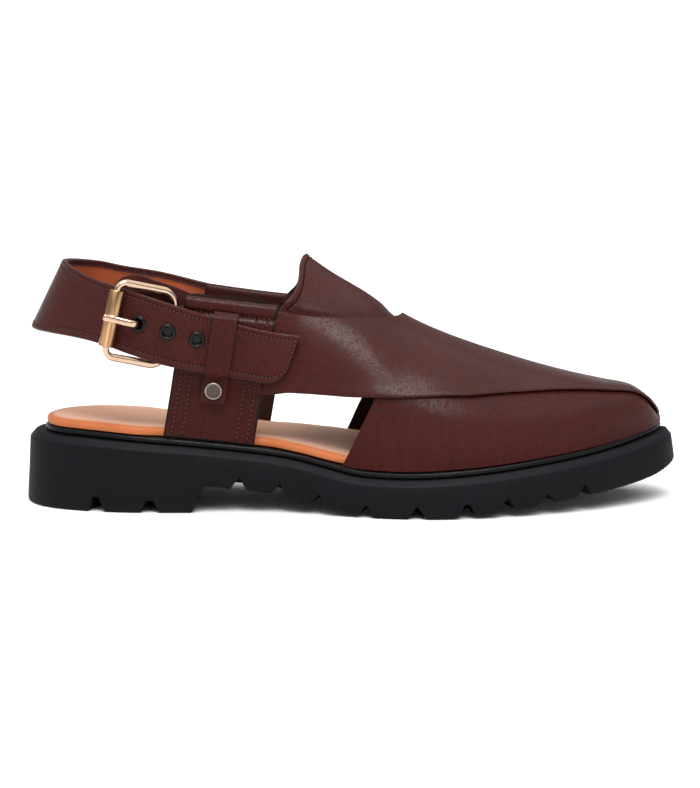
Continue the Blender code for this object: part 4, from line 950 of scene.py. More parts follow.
def band_surface(arm_side, shift):
    """The surface of a band: u runs from its arm to its root, v from its front to its rear edge."""
    low, high = ((hinge_station(ahead), girth) for ahead, girth in (ARM_END_LOW, ARM_END_HIGH))
    front = (low,) + (FRONT_EDGE if arm_side == LATERAL else FRONT_EDGE[: -len(UNDER_TOE)] + UNDER_TOE)
    rear = (high,) + REAR_EDGE

    def spots(u, v):
        u = 1 - (1 - u) ** TOE_CROWDING
        a, b = along(front, u), along(rear, u)
        return a + (b - a) * v[..., None]

    def surface(u, v, lift):
        spot = spots(u, v)
        ahead = shift * np.clip(1 - np.abs(spot[..., 0] - SHIFT_MIDDLE) / SHIFT_REACH, 0, 1)
        ahead = ahead * smooth(-0.3, 0.4, spot[..., 1])
        return leather_point(spot[..., 0] * SOLE_LENGTH + ahead, arm_side * spot[..., 1], lift)

    def flat_map_of(u, v):
        """Metres over the ridge, then metres along the foot."""
        spot = spots(u, v)
        return np.stack([spot[..., 1] * GIRTH_LENGTH, spot[..., 0] * SOLE_LENGTH], -1)

    return surface, flat_map_of


print("the outer arm ends at", round(hinge_station(ARM_END_LOW[0]) * SOLE_LENGTH / MM, 1), "mm from the heel")

# %% The two bands
LEATHER = [BROWN, TURNED_EDGE, BROWN_LINING]
PEBBLED = [BROWN_PEBBLED, TURNED_EDGE, BROWN_LINING]


def swelling(distance, height, reach):
    """A soft rise of a given height that fades within its reach."""
    return height * np.exp(-((distance / reach) ** 2))


surface, flat_map_of = band_surface(MEDIAL, MEDIAL_SHIFT)
sheet("under_band", surface, 0.0, UNDER_BAND, radius=0.0007, counts=(230, 70), finishes=LEATHER, replaces=["upper"],
      flat_map_of=flat_map_of)
surface, flat_map_of = band_surface(LATERAL, 0.0)


def worn_over_band(u, v, edge):
    """The front edge, turned over and so thicker, and two swellings where the foot bends, with a valley between."""
    over_ridge, ahead = np.moveaxis(flat_map_of(u, v), -1, 0)
    waves = swelling(ahead - 0.204, 0.0006, 0.015) + swelling(ahead - 0.159, 0.0005, 0.012)
    return swelling(edge, 0.0007, 0.0035) * (v < 0.5) + waves * smooth(0.008, 0.030, over_ridge)


sheet("over_band", surface, UNDER_BAND + 0.00005, OVER_BAND_TOP, radius=0.00065, counts=(230, 70), finishes=PEBBLED,
      replaces=["upper"], flat_map_of=flat_map_of, turn=math.radians(-48), relief=worn_over_band)

# %% [markdown]
# ## The fold at the toe
# At the very tip the leather of both bands is drawn in under the toe, and it bunches up between them and the rand.
# The bands could be stretched down to fill that place, but their drawn edges would lose their line there. So a small
# plug of the same leather, a flattened ball, stands for the bunched fold.

# %% The toe's fold
FOLD_SIZE, FOLD_OFFSET = np.array([0.0042, 0.0075, 0.0030]), (-0.0021, 0.0, -0.0010)
FOLD_ROWS, FOLD_SIDES, POLE = 24, 48, 0.02
toe_tip = last_point(np.array(LAST_END), np.array(0.0))
down = np.linspace(POLE, math.pi - POLE, FOLD_ROWS)[:, None]
about = np.linspace(0, 2 * math.pi, FOLD_SIDES, endpoint=False)[None]
ball = np.broadcast_arrays(np.sin(down) * np.cos(about), np.sin(down) * np.sin(about), np.cos(down))
ball = np.stack(ball, -1) * FOLD_SIZE
last_row = (FOLD_ROWS - 1) * FOLD_SIDES
fold_faces = grid_faces(FOLD_ROWS, FOLD_SIDES, closed=True)
fold_faces += [(0, i, i + 1) for i in range(1, FOLD_SIDES - 1)]
fold_faces += [(last_row, last_row + i + 1, last_row + i) for i in range(1, FOLD_SIDES - 1)]
solid("toe_fold", toe_tip + FOLD_OFFSET + ball.reshape(-1, 3), fold_faces, [BROWN], "brown_leather", ["upper"],
      smooth_angle=80)
print("the toe's tip is at", np.round(toe_tip / MM, 1), "mm, the rim there at", np.round(sole_top(LAST_END) / MM, 1))

# %% [markdown]
# ## The tongue
# It lies under both bands and shows only at the collar, where it rises to a soft peak. Its free edge is turned over
# and stitched, so a narrow band there stands a little proud. Under the bands it sinks to make room for them. It could
# be a flat tab pushed into place, but as a sheet over the same last it takes the peak's ridge and never cuts the bands.

# %% The tongue
TONGUE_EDGE = (
    (0.4262, 0.00), (0.4225, 0.07), (0.4190, 0.16), (0.4182, 0.269), (0.4152, 0.380), (0.407, 0.487), (0.388, 0.620),
)
TONGUE_FRONT, TONGUE_SINK = 0.640, 0.00125
TONGUE_TOP, TONGUE_THICKNESS = 0.0011, 0.0018
SEAM_INSET = 0.0027
tongue_line = [(x, -g) for x, g in TONGUE_EDGE[:0:-1]] + list(TONGUE_EDGE)
band_rear = np.array(sorted(((g, x) for x, g in REAR_EDGE if g > -0.1)))


def tongue_surface(u, v, lift):
    start = along(tongue_line, u)
    station = start[..., 0] + (TONGUE_FRONT - start[..., 0]) * v
    girth = start[..., 1]
    cover = smooth(-0.030, -0.004, station - np.interp(np.abs(girth), band_rear[:, 0], band_rear[:, 1]))
    return leather_point(station * SOLE_LENGTH, girth, lift - TONGUE_SINK * cover)


def turned_edge(u, v, edge):
    """The turned edge at the collar, and the small valley that its stitches pull."""
    collar = v < 0.3
    return (0.0004 * smooth(0.0030, 0.0018, edge) - swelling(edge - SEAM_INSET, 0.00025, 0.0005)) * collar


def collar_seam(u, v, edge):
    return np.where(v < 0.3, np.abs(edge - SEAM_INSET), FAR_AWAY)


sheet("tongue", tongue_surface, TONGUE_TOP - TONGUE_THICKNESS, TONGUE_TOP, radius=0.0007, counts=(110, 60),
      finishes=PEBBLED, replaces=["upper"], turn=math.radians(70), relief=turned_edge, marks=BEAD_MARKS,
      seams=collar_seam)

# %% [markdown]
# ## The side straps
# Each strap comes up from under the footbed, folds over the band's arm and goes down again inside, where it is sewn.
# In section it is one line: up outside, round the fold, down inside. The sheet follows that line with half its
# thickness to each side. Bending a flat strip with a modifier would round the fold too, but the line also pinches the
# plies together where they are sewn.

# %% The side straps
SIDE_STRAP_WIDTH, SIDE_STRAP_REAR, SIDE_STRAP_LEAN = 0.0413, 0.2150, 0.0110
SIDE_STRAP_TOP, SIDE_STRAP_TOP_DROP, SIDE_STRAP_FOLD = 0.848, 0.046, 0.0046
PLY = 0.0013
FLAP = 0.024
PINCH_BELOW_TOP, PINCH_REACH = 0.0056, 0.0011
DRAWN_HEIGHT = 0.060
# Lift of the outer ply's face: close to the last at the foot, and over the band's arm further up.
OUTER_LIFT = ((0.0, 0.0026), (0.34, 0.0026), (0.46, 0.0046), (1.0, 0.0046))


def fold_line(height):
    """Section of a strap of a given height: height above its foot and lift, from outside, round and down inside."""
    radius = (SIDE_STRAP_FOLD - PLY) / 2
    rise = np.linspace(0, 1, 60)
    outer = np.stack([rise * (height - radius), np.zeros(60)], -1)
    outer[:, 1] = curve(OUTER_LIFT, rise) - PLY / 2
    outer[:, 1] -= swelling(height - outer[:, 0] - PINCH_BELOW_TOP, 0.0014, PINCH_REACH)
    turn = np.linspace(0, math.pi, 16)[1:]
    fold = np.stack([height - radius + radius * np.sin(turn), SIDE_STRAP_FOLD / 2 + radius * np.cos(turn)], -1)
    down = np.linspace(0, FLAP, 20)[1:]
    pinch = swelling(radius + down - PINCH_BELOW_TOP, 0.0009, PINCH_REACH)
    inner = np.stack([height - radius - down, PLY / 2 + pinch], -1)
    return np.concatenate([outer, fold, inner])


section = fold_line(DRAWN_HEIGHT)
section_run = lengths(section)
section_slope = unit(np.gradient(section, section_run, axis=0))
print(f"the side straps' section is {section_run[-1] / MM:.1f} mm long")


def strap_surface(side, shift):
    """The surface of a side strap: u runs along the foot, v up outside, over the fold and down inside."""

    def surface(u, v, off):
        rise, lift = np.moveaxis(read_at(v * section_run[-1], section_run, section), -1, 0)
        slope = unit(read_at(v * section_run[-1], section_run, section_slope))
        rise, lift = rise - slope[..., 1] * off, lift + slope[..., 0] * off
        foot_x = SIDE_STRAP_REAR * SOLE_LENGTH + shift + u * SIDE_STRAP_WIDTH
        foot = upper_foot(foot_x)
        top = (SIDE_STRAP_TOP - SIDE_STRAP_TOP_DROP * u) * INSTEP_HEIGHT
        share = rise / DRAWN_HEIGHT
        return side_point(side, foot_x + SIDE_STRAP_LEAN * share, foot + (top - foot) * share, lift)

    return surface


# %% Their seams, and the two straps
BLACK_EDGED = [BROWN_BLACK_EDGED, BLACK_EDGE, BROWN_LINING]
SIDE_SEAMS = (0.0036, 0.0084)
SEAM_BELOW_FOLD, SEAM_INSIDE, SECTION_LENGTH = 0.6215, 0.770, 0.0875


def side_seams(u, v, edge):
    """Distance to the nearest of the strap's rows of stitches."""
    side = np.minimum(u, 1 - u) * SIDE_STRAP_WIDTH
    rows = [np.where(v < SEAM_BELOW_FOLD, np.abs(side - inset), FAR_AWAY) for inset in SIDE_SEAMS]
    rows += [np.abs(v - seam) * SECTION_LENGTH for seam in (SEAM_BELOW_FOLD, SEAM_INSIDE)]
    return np.minimum.reduce(rows)


for side, shift, label in ((LATERAL, 0.0, "outer"), (MEDIAL, MEDIAL_SHIFT, "inner")):
    sheet(f"side_strap_{label}", strap_surface(side, shift), -PLY / 2, PLY / 2, radius=0.0005, counts=(60, 190),
          finishes=BLACK_EDGED, replaces=["upper"], turn=math.radians(90), seams=side_seams)

# %% [markdown]
# ## The heel strap
# It starts on the inner side, runs round the back of the heel and comes through the buckle to its free end on the
# outer side. Three lines carry it: its lower edge, its middle and its upper edge. Each is smooth along the strap, and
# an arc through the three gives the hollow that the heel presses into it. One curve with a bevel would twist where
# the strap leaves the foot, and it could not widen or lean as this one does.

# %% Lines of the heel strap
HEEL_STRAP_THICKNESS = 0.0026
# Round the heel: x, y and height of the lower and the upper edge, shares of the sole's length, the ball's width and
# the instep's height. Along the foot's two sides: station and height alone, because there the last gives y.
HEEL_STRAP_BACK = (
    ((0.1490, 0.362, 0.660), (0.1400, 0.300, 0.927)), ((0.0990, 0.322, 0.688), (0.1040, 0.252, 0.951)),
    ((0.0464, 0.238, 0.703), (0.0770, 0.168, 0.966)), ((0.0135, 0.128, 0.707), (0.0610, 0.087, 0.974)),
    ((0.0043, 0.000, 0.708), (0.0546, 0.000, 0.976)), ((0.0135, -0.128, 0.706), (0.0608, -0.087, 0.971)),
    ((0.0417, -0.232, 0.702), (0.0780, -0.172, 0.951)), ((0.0848, -0.312, 0.690), (0.1130, -0.262, 0.915)),
    ((0.1242, -0.360, 0.668), (0.1470, -0.326, 0.892)),
)
HEEL_STRAP_MEDIAL = (
    ((0.386, 0.553), (0.398, 0.770)), ((0.318, 0.584), (0.332, 0.812)), ((0.250, 0.612), (0.262, 0.848)),
    ((0.196, 0.640), (0.196, 0.889)),
)
HEEL_STRAP_LATERAL = (
    ((0.1722, 0.628), (0.1888, 0.857)), ((0.2215, 0.586), (0.2417, 0.811)), ((0.2811, 0.553), (0.2997, 0.763)),
    ((0.3311, 0.531), (0.3493, 0.728)), ((0.3720, 0.514), (0.3910, 0.7015)), ((0.3985, 0.505), (0.4225, 0.684)),
)
STRAP_END_RADIUS = 0.0085
HEEL_STRAP_LIFT = ((0.150, 1.35), (0.200, 1.44), (0.245, 1.44), (0.305, 1.09), (0.450, 1.09))


def strap_line(share):
    """Points of the heel strap's outer face at a share of its width, one for each pair of its edges."""
    points = []
    for side, pairs in ((MEDIAL, HEEL_STRAP_MEDIAL), (None, HEEL_STRAP_BACK), (LATERAL, HEEL_STRAP_LATERAL)):
        spots = np.array([np.add(low, np.subtract(high, low) * share) for low, high in pairs])
        if side is None:
            points.append(spots * (SOLE_LENGTH, BALL_WIDTH, INSTEP_HEIGHT))
        else:
            lift = curve(HEEL_STRAP_LIFT, spots[:, 0]) * SIDE_STRAP_FOLD + HEEL_STRAP_THICKNESS
            points.append(side_point(side, spots[:, 0] * SOLE_LENGTH, spots[:, 1] * INSTEP_HEIGHT, lift))
    return np.concatenate(points)


STRAP_LINES = [strap_line(share) for share in (0.0, 0.5, 1.0)]


def strap_face(u, v):
    """Point of the strap's outer face: u runs from its sewn start to its free end, v from its lower edge up."""
    low, middle, high = (along(line, u) for line in STRAP_LINES)
    v = np.asarray(v)[..., None]
    return low * (1 - v) * (1 - 2 * v) + middle * 4 * v * (1 - v) + high * v * (2 * v - 1)


def strap_normal(u, v):
    """Outward normal of the heel strap."""
    ahead = strap_face(np.minimum(u + 0.002, 1), v) - strap_face(np.maximum(u - 0.002, 0), v)
    width = strap_face(u, np.ones_like(u)) - strap_face(u, np.zeros_like(u))
    return unit(np.cross(width, ahead))


back_middle = strap_normal(np.array([0.42]), np.array([0.5]))[0]
OUTWARD = 1 if back_middle[0] < 0 else -1
print("the strap's back faces", np.round(back_middle * OUTWARD, 2))

# %% Its rounded corner at the free end
strap_share = np.linspace(0.9, 1.0, 401)
strap_end_run = lengths(strap_face(strap_share, np.zeros(401)))
strap_end_width = np.linalg.norm(strap_face(np.ones(1), np.ones(1)) - strap_face(np.ones(1), np.zeros(1)))
print(f"the strap's free end is {strap_end_width / MM:.1f} mm wide")


def heel_strap_surface(u, v, off):
    """The strap's face, with its lower corner rounded at the free end."""
    left = strap_end_run[-1] - np.interp(u, strap_share, strap_end_run)
    inside = np.clip(1 - left / STRAP_END_RADIUS, 0, 1)
    corner = STRAP_END_RADIUS * (1 - np.sqrt(1 - inside**2)) / strap_end_width
    v = corner + (1 - corner) * v
    return strap_face(u, v) + strap_normal(u, v) * OUTWARD * np.asarray(off)[..., None]


# %% The heel strap
def sewn_bead(u, v, edge):
    """A soft bead along the edge, and the small valley that the stitches pull behind it."""
    return swelling(edge - SEAM_INSET, -0.00028, 0.0006) + 0.00012 * smooth(0.0026, 0.0012, edge)


def edge_seam(u, v, edge):
    return np.abs(edge - SEAM_INSET)


TURNED_MARGIN = 0.0031
heel_strap = sheet("heel_strap_leather", heel_strap_surface, -HEEL_STRAP_THICKNESS, 0.0, radius=0.0008,
                   counts=(330, 30), finishes=[BROWN, TURNED_EDGE, TAN_LINING], replaces=["heel_strap"],
                   turn=math.radians(-26), marks=BEAD_MARKS, relief=sewn_bead, margin=TURNED_MARGIN, seams=edge_seam)

# %% [markdown]
# ## The buckle
# The frame is a round bar bent to a rectangle, with tight corners at the roller and wide ones at the hinge, and its
# two rails swell a little towards their middle. The roller lies on the strap, and the hinge bar runs through two loops
# of the outer arm. The prong comes up through the first hole and rests on the roller with its tip just past it. The
# packed solids have the same forms with plainer corners, so the buckle is built again from the same few places.

# %% Where the bars lie
FIRST_HOLE, HOLE_PITCH, HOLE_COUNT = (0.0102, 0.750), 0.0134, 3
HOLE_SLOPE = 1.25 * BUCKLE_SLOPE
ROLLER_DIAMETER, ROLLER_LENGTH, RAIL_DIAMETER = 0.0070, 0.0257, 0.0030
ROLLER_CORNER, HINGE_CORNER = 0.0044, 0.0066
HINGE_LIFT, BUCKLE_DROP = 0.0019, 0.0011


def strap_seat(x, height):
    """Point, outward normal and width's direction of the heel strap at x and height, on the outer side."""
    u = np.linspace(0.5, 1.0, 4001)
    low, high = strap_face(u, np.zeros_like(u)), strap_face(u, np.ones_like(u))
    v = np.clip((height - low[:, 2]) / (high[:, 2] - low[:, 2]), 0, 1)
    point = strap_face(u, v)
    k = np.abs(point[:, 0] - x).argmin()
    return point[k], (strap_normal(u, v) * OUTWARD)[k], unit(high - low)[k]


roller_x, roller_height = ROLLER_MIDDLE[0] * SOLE_LENGTH, ROLLER_MIDDLE[1] * INSTEP_HEIGHT
seat, seat_normal, strap_width = strap_seat(roller_x, roller_height)
roller_middle = seat + seat_normal * (ROLLER_DIAMETER / 2 + 2 * SEAT_GAP)
hinge_x = roller_x + BUCKLE_LENGTH * math.cos(BUCKLE_SLOPE)
hinge_height = roller_height + BUCKLE_LENGTH * math.sin(BUCKLE_SLOPE)
hinge_middle = side_point(LATERAL, hinge_x, hinge_height, HINGE_LIFT)
buckle_across = unit(hinge_middle - roller_middle)
buckle_up = unit(strap_width - buckle_across * strap_width.dot(buckle_across))
buckle_out = np.cross(buckle_across, buckle_up)
buckle_out = buckle_out * (1 if buckle_out[1] < 0 else -1)
roller_middle, hinge_middle = (spot - buckle_up * BUCKLE_DROP for spot in (roller_middle, hinge_middle))
hole_seats = []
for i in range(HOLE_COUNT):
    x = roller_x + FIRST_HOLE[0] + i * HOLE_PITCH * math.cos(BUCKLE_SLOPE)
    height = FIRST_HOLE[1] * INSTEP_HEIGHT + i * HOLE_PITCH * math.sin(HOLE_SLOPE)
    hole_seats.append(strap_seat(x, height)[:2])
print("roller at", np.round(roller_middle / MM, 1), "hinge at", np.round(hinge_middle / MM, 1), "mm")

# %% [markdown]
# ## Turned and bent fittings
# Rollers, eyelets and rivets are turned on a lathe, and frames and prongs are bent from bar. In the same way a short
# profile goes round an axis here, and a section follows a path. A bevelled curve would do for the bars, but its ends
# stay open, and each piece has to be a closed body.

# %% Turned bodies
def frame_of(axis):
    """Two directions square to an axis."""
    turn = Vector(axis).to_track_quat("Z", "X").to_matrix()
    return np.array(turn.col[0]), np.array(turn.col[1])


def turned(name, centre, axis, profile, finishes, slot, replaces=(), sides=64, edge=None, smooth_angle=40):
    """A round body from rows of radius and distance along its axis, closed on the axis or on themselves."""
    a, b = frame_of(axis)
    angle = 2 * math.pi * np.arange(sides) / sides
    ring = np.cos(angle)[:, None] * a + np.sin(angle)[:, None] * b
    axis, profile = np.asarray(axis), np.asarray(profile, float)
    hollow = profile[0, 0] > 0
    body = profile if hollow else profile[1:-1]
    radius, height = body[:, :1], body[:, 1:]
    points = (centre + ring * radius[..., None] + axis * height[..., None]).reshape(-1, 3)
    faces = grid_faces(len(body), sides, closed=True)
    last, poles = (len(body) - 1) * sides, len(body) * sides
    pairs = [(i, (i + 1) % sides) for i in range(sides)]
    if hollow:
        faces += [(last + i, last + j, j, i) for i, j in pairs]
    else:
        points = np.concatenate([points, centre + axis * profile[[0, -1], 1:]])
        faces += [(j, i, poles) for i, j in pairs] + [(last + i, last + j, poles + 1) for i, j in pairs]
    extra = len(points) - poles
    flat = np.stack(np.broadcast_arrays(height, angle * radius), -1).reshape(-1, 2)
    if edge is not None:
        edge = np.concatenate([np.repeat(edge if hollow else edge[1:-1], sides), np.full(extra, FAR_AWAY)])
    return solid(name, points, faces, finishes, slot, replaces, maps=np.concatenate([flat, np.zeros((extra, 2))]),
                 edge=edge, smooth_angle=smooth_angle)


print("square to an upright axis:", *(np.abs(np.round(way, 2)) for way in frame_of((0.0, 0.0, 1.0))))


# %% Bent bodies
def bar_rings(path, wide, half_wide, half_thick, sides=24, closed=False, square=2.0):
    """Rings along a path: wide is the direction of the section's width, square rounds it less above 2."""
    path = np.asarray(path)
    run = unit(np.roll(path, -1, 0) - np.roll(path, 1, 0) if closed else np.gradient(path, axis=0))
    side = unit(wide - run * (run @ wide)[:, None])
    depth = np.cross(run, side)
    angle = 2 * math.pi * np.arange(sides) / sides
    c = np.sign(np.cos(angle)) * np.abs(np.cos(angle)) ** (2 / square)
    s = np.sign(np.sin(angle)) * np.abs(np.sin(angle)) ** (2 / square)
    wide_part = side[:, None] * (np.broadcast_to(half_wide, len(path))[:, None] * c)[..., None]
    thick_part = depth[:, None] * (np.broadcast_to(half_thick, len(path))[:, None] * s)[..., None]
    return path[:, None] + wide_part + thick_part


def bar(name, rings, finishes, slot, replaces, smooth_angle, closed=False):
    """A solid from rings along a bar, closed on itself or with flat ends."""
    count, sides = rings.shape[:2]
    faces = grid_faces(count, sides, closed=True)
    last = (count - 1) * sides
    if closed:
        faces += [(last + i, last + (i + 1) % sides, (i + 1) % sides, i) for i in range(sides)]
        points = rings.reshape(-1, 3)
    else:
        points = np.concatenate([rings.reshape(-1, 3), [rings[0].mean(0), rings[-1].mean(0)]])
        middle = count * sides
        faces += [((i + 1) % sides, i, middle) for i in range(sides)]
        faces += [(last + i, last + (i + 1) % sides, middle + 1) for i in range(sides)]
    return solid(name, points, faces, finishes, slot, replaces, smooth_angle=smooth_angle)


print("a bar's section has", bar_rings([(0, 0, 0), (0, 0, 1)], np.array([1.0, 0, 0]), 1.0, 1.0).shape[1], "sides")


# %% The holes in the strap
PUNCH_RADIUS, PUNCH_LOW, PUNCH_HIGH = 0.00265, -0.0060, 0.0030


def cut(piece, tools):
    """Takes the tools' shapes out of a piece."""
    for tool in tools:
        taken = piece.modifiers.new("cut", "BOOLEAN")
        taken.operation, taken.solver, taken.object = "DIFFERENCE", "EXACT", tool
    bpy.context.view_layer.update()
    mesh = bpy.data.meshes.new_from_object(piece.evaluated_get(bpy.context.evaluated_depsgraph_get()))
    piece.modifiers.clear()
    piece.data = mesh
    for tool in tools:
        bpy.data.objects.remove(tool)


punch_profile = [(0.0, PUNCH_LOW), (PUNCH_RADIUS, PUNCH_LOW), (PUNCH_RADIUS, PUNCH_HIGH), (0.0, PUNCH_HIGH)]
cut(heel_strap, [turned(f"punch_{i}", centre, normal, punch_profile, [BROWN], "brown_leather", sides=40)
                 for i, (centre, normal) in enumerate(hole_seats)])
print("heel strap after punching:", len(heel_strap.data.polygons), "faces")

# %% The frame
half_length, half_height = np.linalg.norm(hinge_middle - roller_middle) / 2, BUCKLE_HEIGHT / 2
buckle_middle = (roller_middle + hinge_middle) / 2
frame_path = []
for quarter, (a, b) in enumerate(((1, 1), (-1, 1), (-1, -1), (1, -1))):
    corner = ROLLER_CORNER if a < 0 else HINGE_CORNER
    middle = buckle_middle + buckle_across * a * (half_length - corner)
    middle = middle + buckle_up * b * (half_height - corner)
    for angle in math.pi / 2 * (quarter + np.linspace(0, 1, 13)):
        frame_path.append(middle + (buckle_across * math.cos(angle) + buckle_up * math.sin(angle)) * corner)
frame_path = np.array(frame_path)
RAIL_SWELL, RAIL_BOW = 0.0005, 0.0003
off_middle = frame_path - buckle_middle
swell = smooth(0.92, 0.40, np.abs(off_middle @ buckle_across) / half_length)
bow = -np.sign(off_middle @ buckle_up) * swell * RAIL_BOW
frame_path = frame_path + bow[:, None] * buckle_up
rail_radius = RAIL_DIAMETER / 2
frame_rings = bar_rings(frame_path, buckle_out, rail_radius, rail_radius + RAIL_SWELL * swell, closed=True)
bar("buckle_bar", frame_rings, [GOLD], "gold", ["buckle_frame"], 80, closed=True)

# %% The roller
bore, outside, half, soft = (RAIL_DIAMETER + SEAT_GAP) / 2, ROLLER_DIAMETER / 2, ROLLER_LENGTH / 2, 0.0004
roller_profile = [
    (bore, -half), (outside - soft, -half), (outside - 0.3 * soft, -half + 0.3 * soft), (outside, -half + soft),
    (outside, half - soft), (outside - 0.3 * soft, half - 0.3 * soft), (outside - soft, half), (bore, half),
]
turned("roller", roller_middle, buckle_up, roller_profile, [GOLD_WITH_PAINTED_REFLECTIONS], "gold", ["buckle_roller"])

# %% The prong
PRONG_WIDTH, PRONG_THICKNESS, EYELET_FLANGE, EYE_WALL = 0.0031, 0.0019, 0.0006, 0.0014
hole, hole_normal = hole_seats[0]
to_tip = unit(roller_middle - hinge_middle)
inward = HEEL_STRAP_THICKNESS + SEAT_GAP + EYELET_FLANGE
on_roller = roller_middle + buckle_out * (ROLLER_DIAMETER / 2 + PRONG_THICKNESS / 2)
over_hole = hole + hole_normal * (on_roller - hole).dot(hole_normal) * 0.85
rise = 0.0016
prong_line = [
    hinge_middle + to_tip * (RAIL_DIAMETER / 2 + EYE_WALL / 2),
    hinge_middle + to_tip * (RAIL_DIAMETER / 2 + EYE_WALL / 2 + 3.0 * rise),
    hole - hole_normal * (inward + 1.1 * rise) - to_tip * 1.4 * rise,
    hole - hole_normal * (inward + 0.2 * rise) - to_tip * 0.5 * rise,
    hole - hole_normal * inward / 2 - to_tip * 0.35 * rise,
    hole + hole_normal * 0.4 * rise - to_tip * 0.15 * rise,
    hole + (over_hole - hole) * 0.75 + to_tip * 0.5 * rise,
    over_hole + (on_roller - over_hole) * 0.35,
    over_hole + (on_roller - over_hole) * 0.68,
    on_roller,
    on_roller + to_tip * 2.9 * rise - buckle_out * 0.25 * rise,
]
share = np.linspace(0, 1, 90)
collar = 1 + 0.20 * smooth(0.872, 0.884, share) * smooth(0.922, 0.910, share)
tip = np.sqrt(np.clip(1 - np.clip((share - 0.972) / 0.0285, 0, 1) ** 2, 0.02, 1))
prong_rings = bar_rings(along(prong_line, share), buckle_up, PRONG_WIDTH / 2 * collar * tip,
                        PRONG_THICKNESS / 2 * collar * tip, square=2.6)
bar("prong", prong_rings, [GOLD], "gold", ["buckle_prong"], 70)
eye_profile = [
    (bore, -0.0015), (0.0028, -0.0015), (0.0031, -0.0012), (0.0031, 0.0012), (0.0028, 0.0015), (bore, 0.0015),
]
turned("prong_eye", hinge_middle, buckle_up, eye_profile, [GOLD], "gold", ["buckle_prong"], sides=40)

# %% The eyelets
eye, flange, barrel = 0.0020, 0.0037, 0.0026
back = -HEEL_STRAP_THICKNESS - 0.0001
eyelet_profile = [
    (eye, back - 0.0002), (eye * 1.15, back - 0.0004), (flange * 0.88, back - 0.0004),
    (flange * 0.92, back - 0.0002), (flange * 0.92, back), (barrel, back), (barrel, 0.0001), (flange, 0.0001),
    (flange * 1.01, 0.0003), (flange * 0.95, 0.0006), (flange * 0.82, 0.00085), (flange * 0.68, 0.0008),
    (eye * 1.08, 0.0004), (eye, 0.0),
]
# The prong goes through the first eyelet. The other two are seen dark inside, so a disc of black enamel closes them
# at the back: a dark stand-in for the shade in the open hole.
back_with_shade_disc = [(0.0, back - 0.0004)] + eyelet_profile[2:-1] + [(eye, 0.0), (eye, back + 0.0002), (0.0, back + 0.0002)]
for i, (centre, normal) in enumerate(hole_seats):
    turned(f"strap_eyelet_{i + 1}", centre, normal, back_with_shade_disc if i else eyelet_profile, [ENAMEL], "black_metal",
           [f"eyelet_{i + 1}"], sides=56, smooth_angle=60)

# %% [markdown]
# ## The guard behind the buckle
# A thin leather tab lies between the buckle and the foot, so that the bars don't press on the skin. Only its rounded
# upper edge shows, just over the frame. It follows the strap's inner face and then goes in under the outer arm. A
# flat tab would stick out from the curved strap, so it is laid on that face, at a depth of its own.

# %% The guard
# From the heel forward: x with the height of its rim, and x with its depth behind the strap's outer face.
GUARD_TOP = (
    (0.0385, 0.0978), (0.0392, 0.1034), (0.0408, 0.1066), (0.0432, 0.1084), (0.0460, 0.1090), (0.0490, 0.1088),
    (0.0530, 0.1078), (0.0570, 0.1064), (0.0610, 0.1050), (0.0690, 0.1022), (0.0770, 0.0990),
)
GUARD_DEPTH = (
    (0.0385, -0.0050), (0.0480, -0.0052), (0.0540, -0.0072), (0.0600, -0.0074), (0.0670, -0.0098), (0.0770, -0.0102),
)
# The foot is a share of the strap's width.
GUARD_THICKNESS, GUARD_FOOT = 0.0012, 0.25
lateral_u = np.linspace(0.55, 1.0, 2001)
lateral_x = strap_face(lateral_u, np.full_like(lateral_u, 0.8))[:, 0]


def guard_surface(u, v, off):
    x = GUARD_TOP[0][0] + (GUARD_TOP[-1][0] - GUARD_TOP[0][0]) * np.asarray(u)
    along_strap = np.interp(x, lateral_x, lateral_u)
    low, high = strap_face(along_strap, np.zeros_like(x)), strap_face(along_strap, np.ones_like(x))
    top = (curve(GUARD_TOP, x) - low[..., 2]) / (high - low)[..., 2]
    across = GUARD_FOOT + (top - GUARD_FOOT) * v
    return heel_strap_surface(along_strap, across, curve(GUARD_DEPTH, x) + off)


sheet("buckle_guard", guard_surface, -GUARD_THICKNESS, 0.0, radius=0.0004, counts=(60, 24), finishes=LEATHER,
      replaces=["upper"])

# %% [markdown]
# ## Keeper and rivet
# The keeper is a narrow loop of the same leather. It comes out from behind the strap's upper edge, lies down over the
# strap and ends in a tab on the side strap, where a rivet holds it. Only the part over the strap shows, so one sheet
# that rises over the strap and comes down on the side strap does the work of the whole loop.

# %% The keeper
KEEPER_WIDTH, KEEPER_THICKNESS, KEEPER_GAP = 0.0114, 0.0014, 0.0001
KEEPER_TILT, KEEPER_RISE = 0.12, 1.24
# Ahead of the last hole in metres, and height as a share of INSTEP_HEIGHT.
KEEPER_TOP, KEEPER_FOOT, RIVET_SEAT = (0.0130, 0.787), (0.0063, 0.433), (0.0068, 0.484)
# Share of the way from top to foot, and share of the rise over the strap.
KEEPER_RUN = (
    (0.000, 0.00), (0.030, 0.45), (0.065, 0.95), (0.100, 1.00), (0.620, 1.00), (0.665, 0.92), (0.710, 0.45),
    (0.755, 0.04), (0.800, 0.00), (1.000, 0.00),
)
last_hole = FIRST_HOLE[0] + (HOLE_COUNT - 1) * HOLE_PITCH * math.cos(BUCKLE_SLOPE)


def keeper_place(ahead, height):
    return roller_x + last_hole + ahead, height * INSTEP_HEIGHT


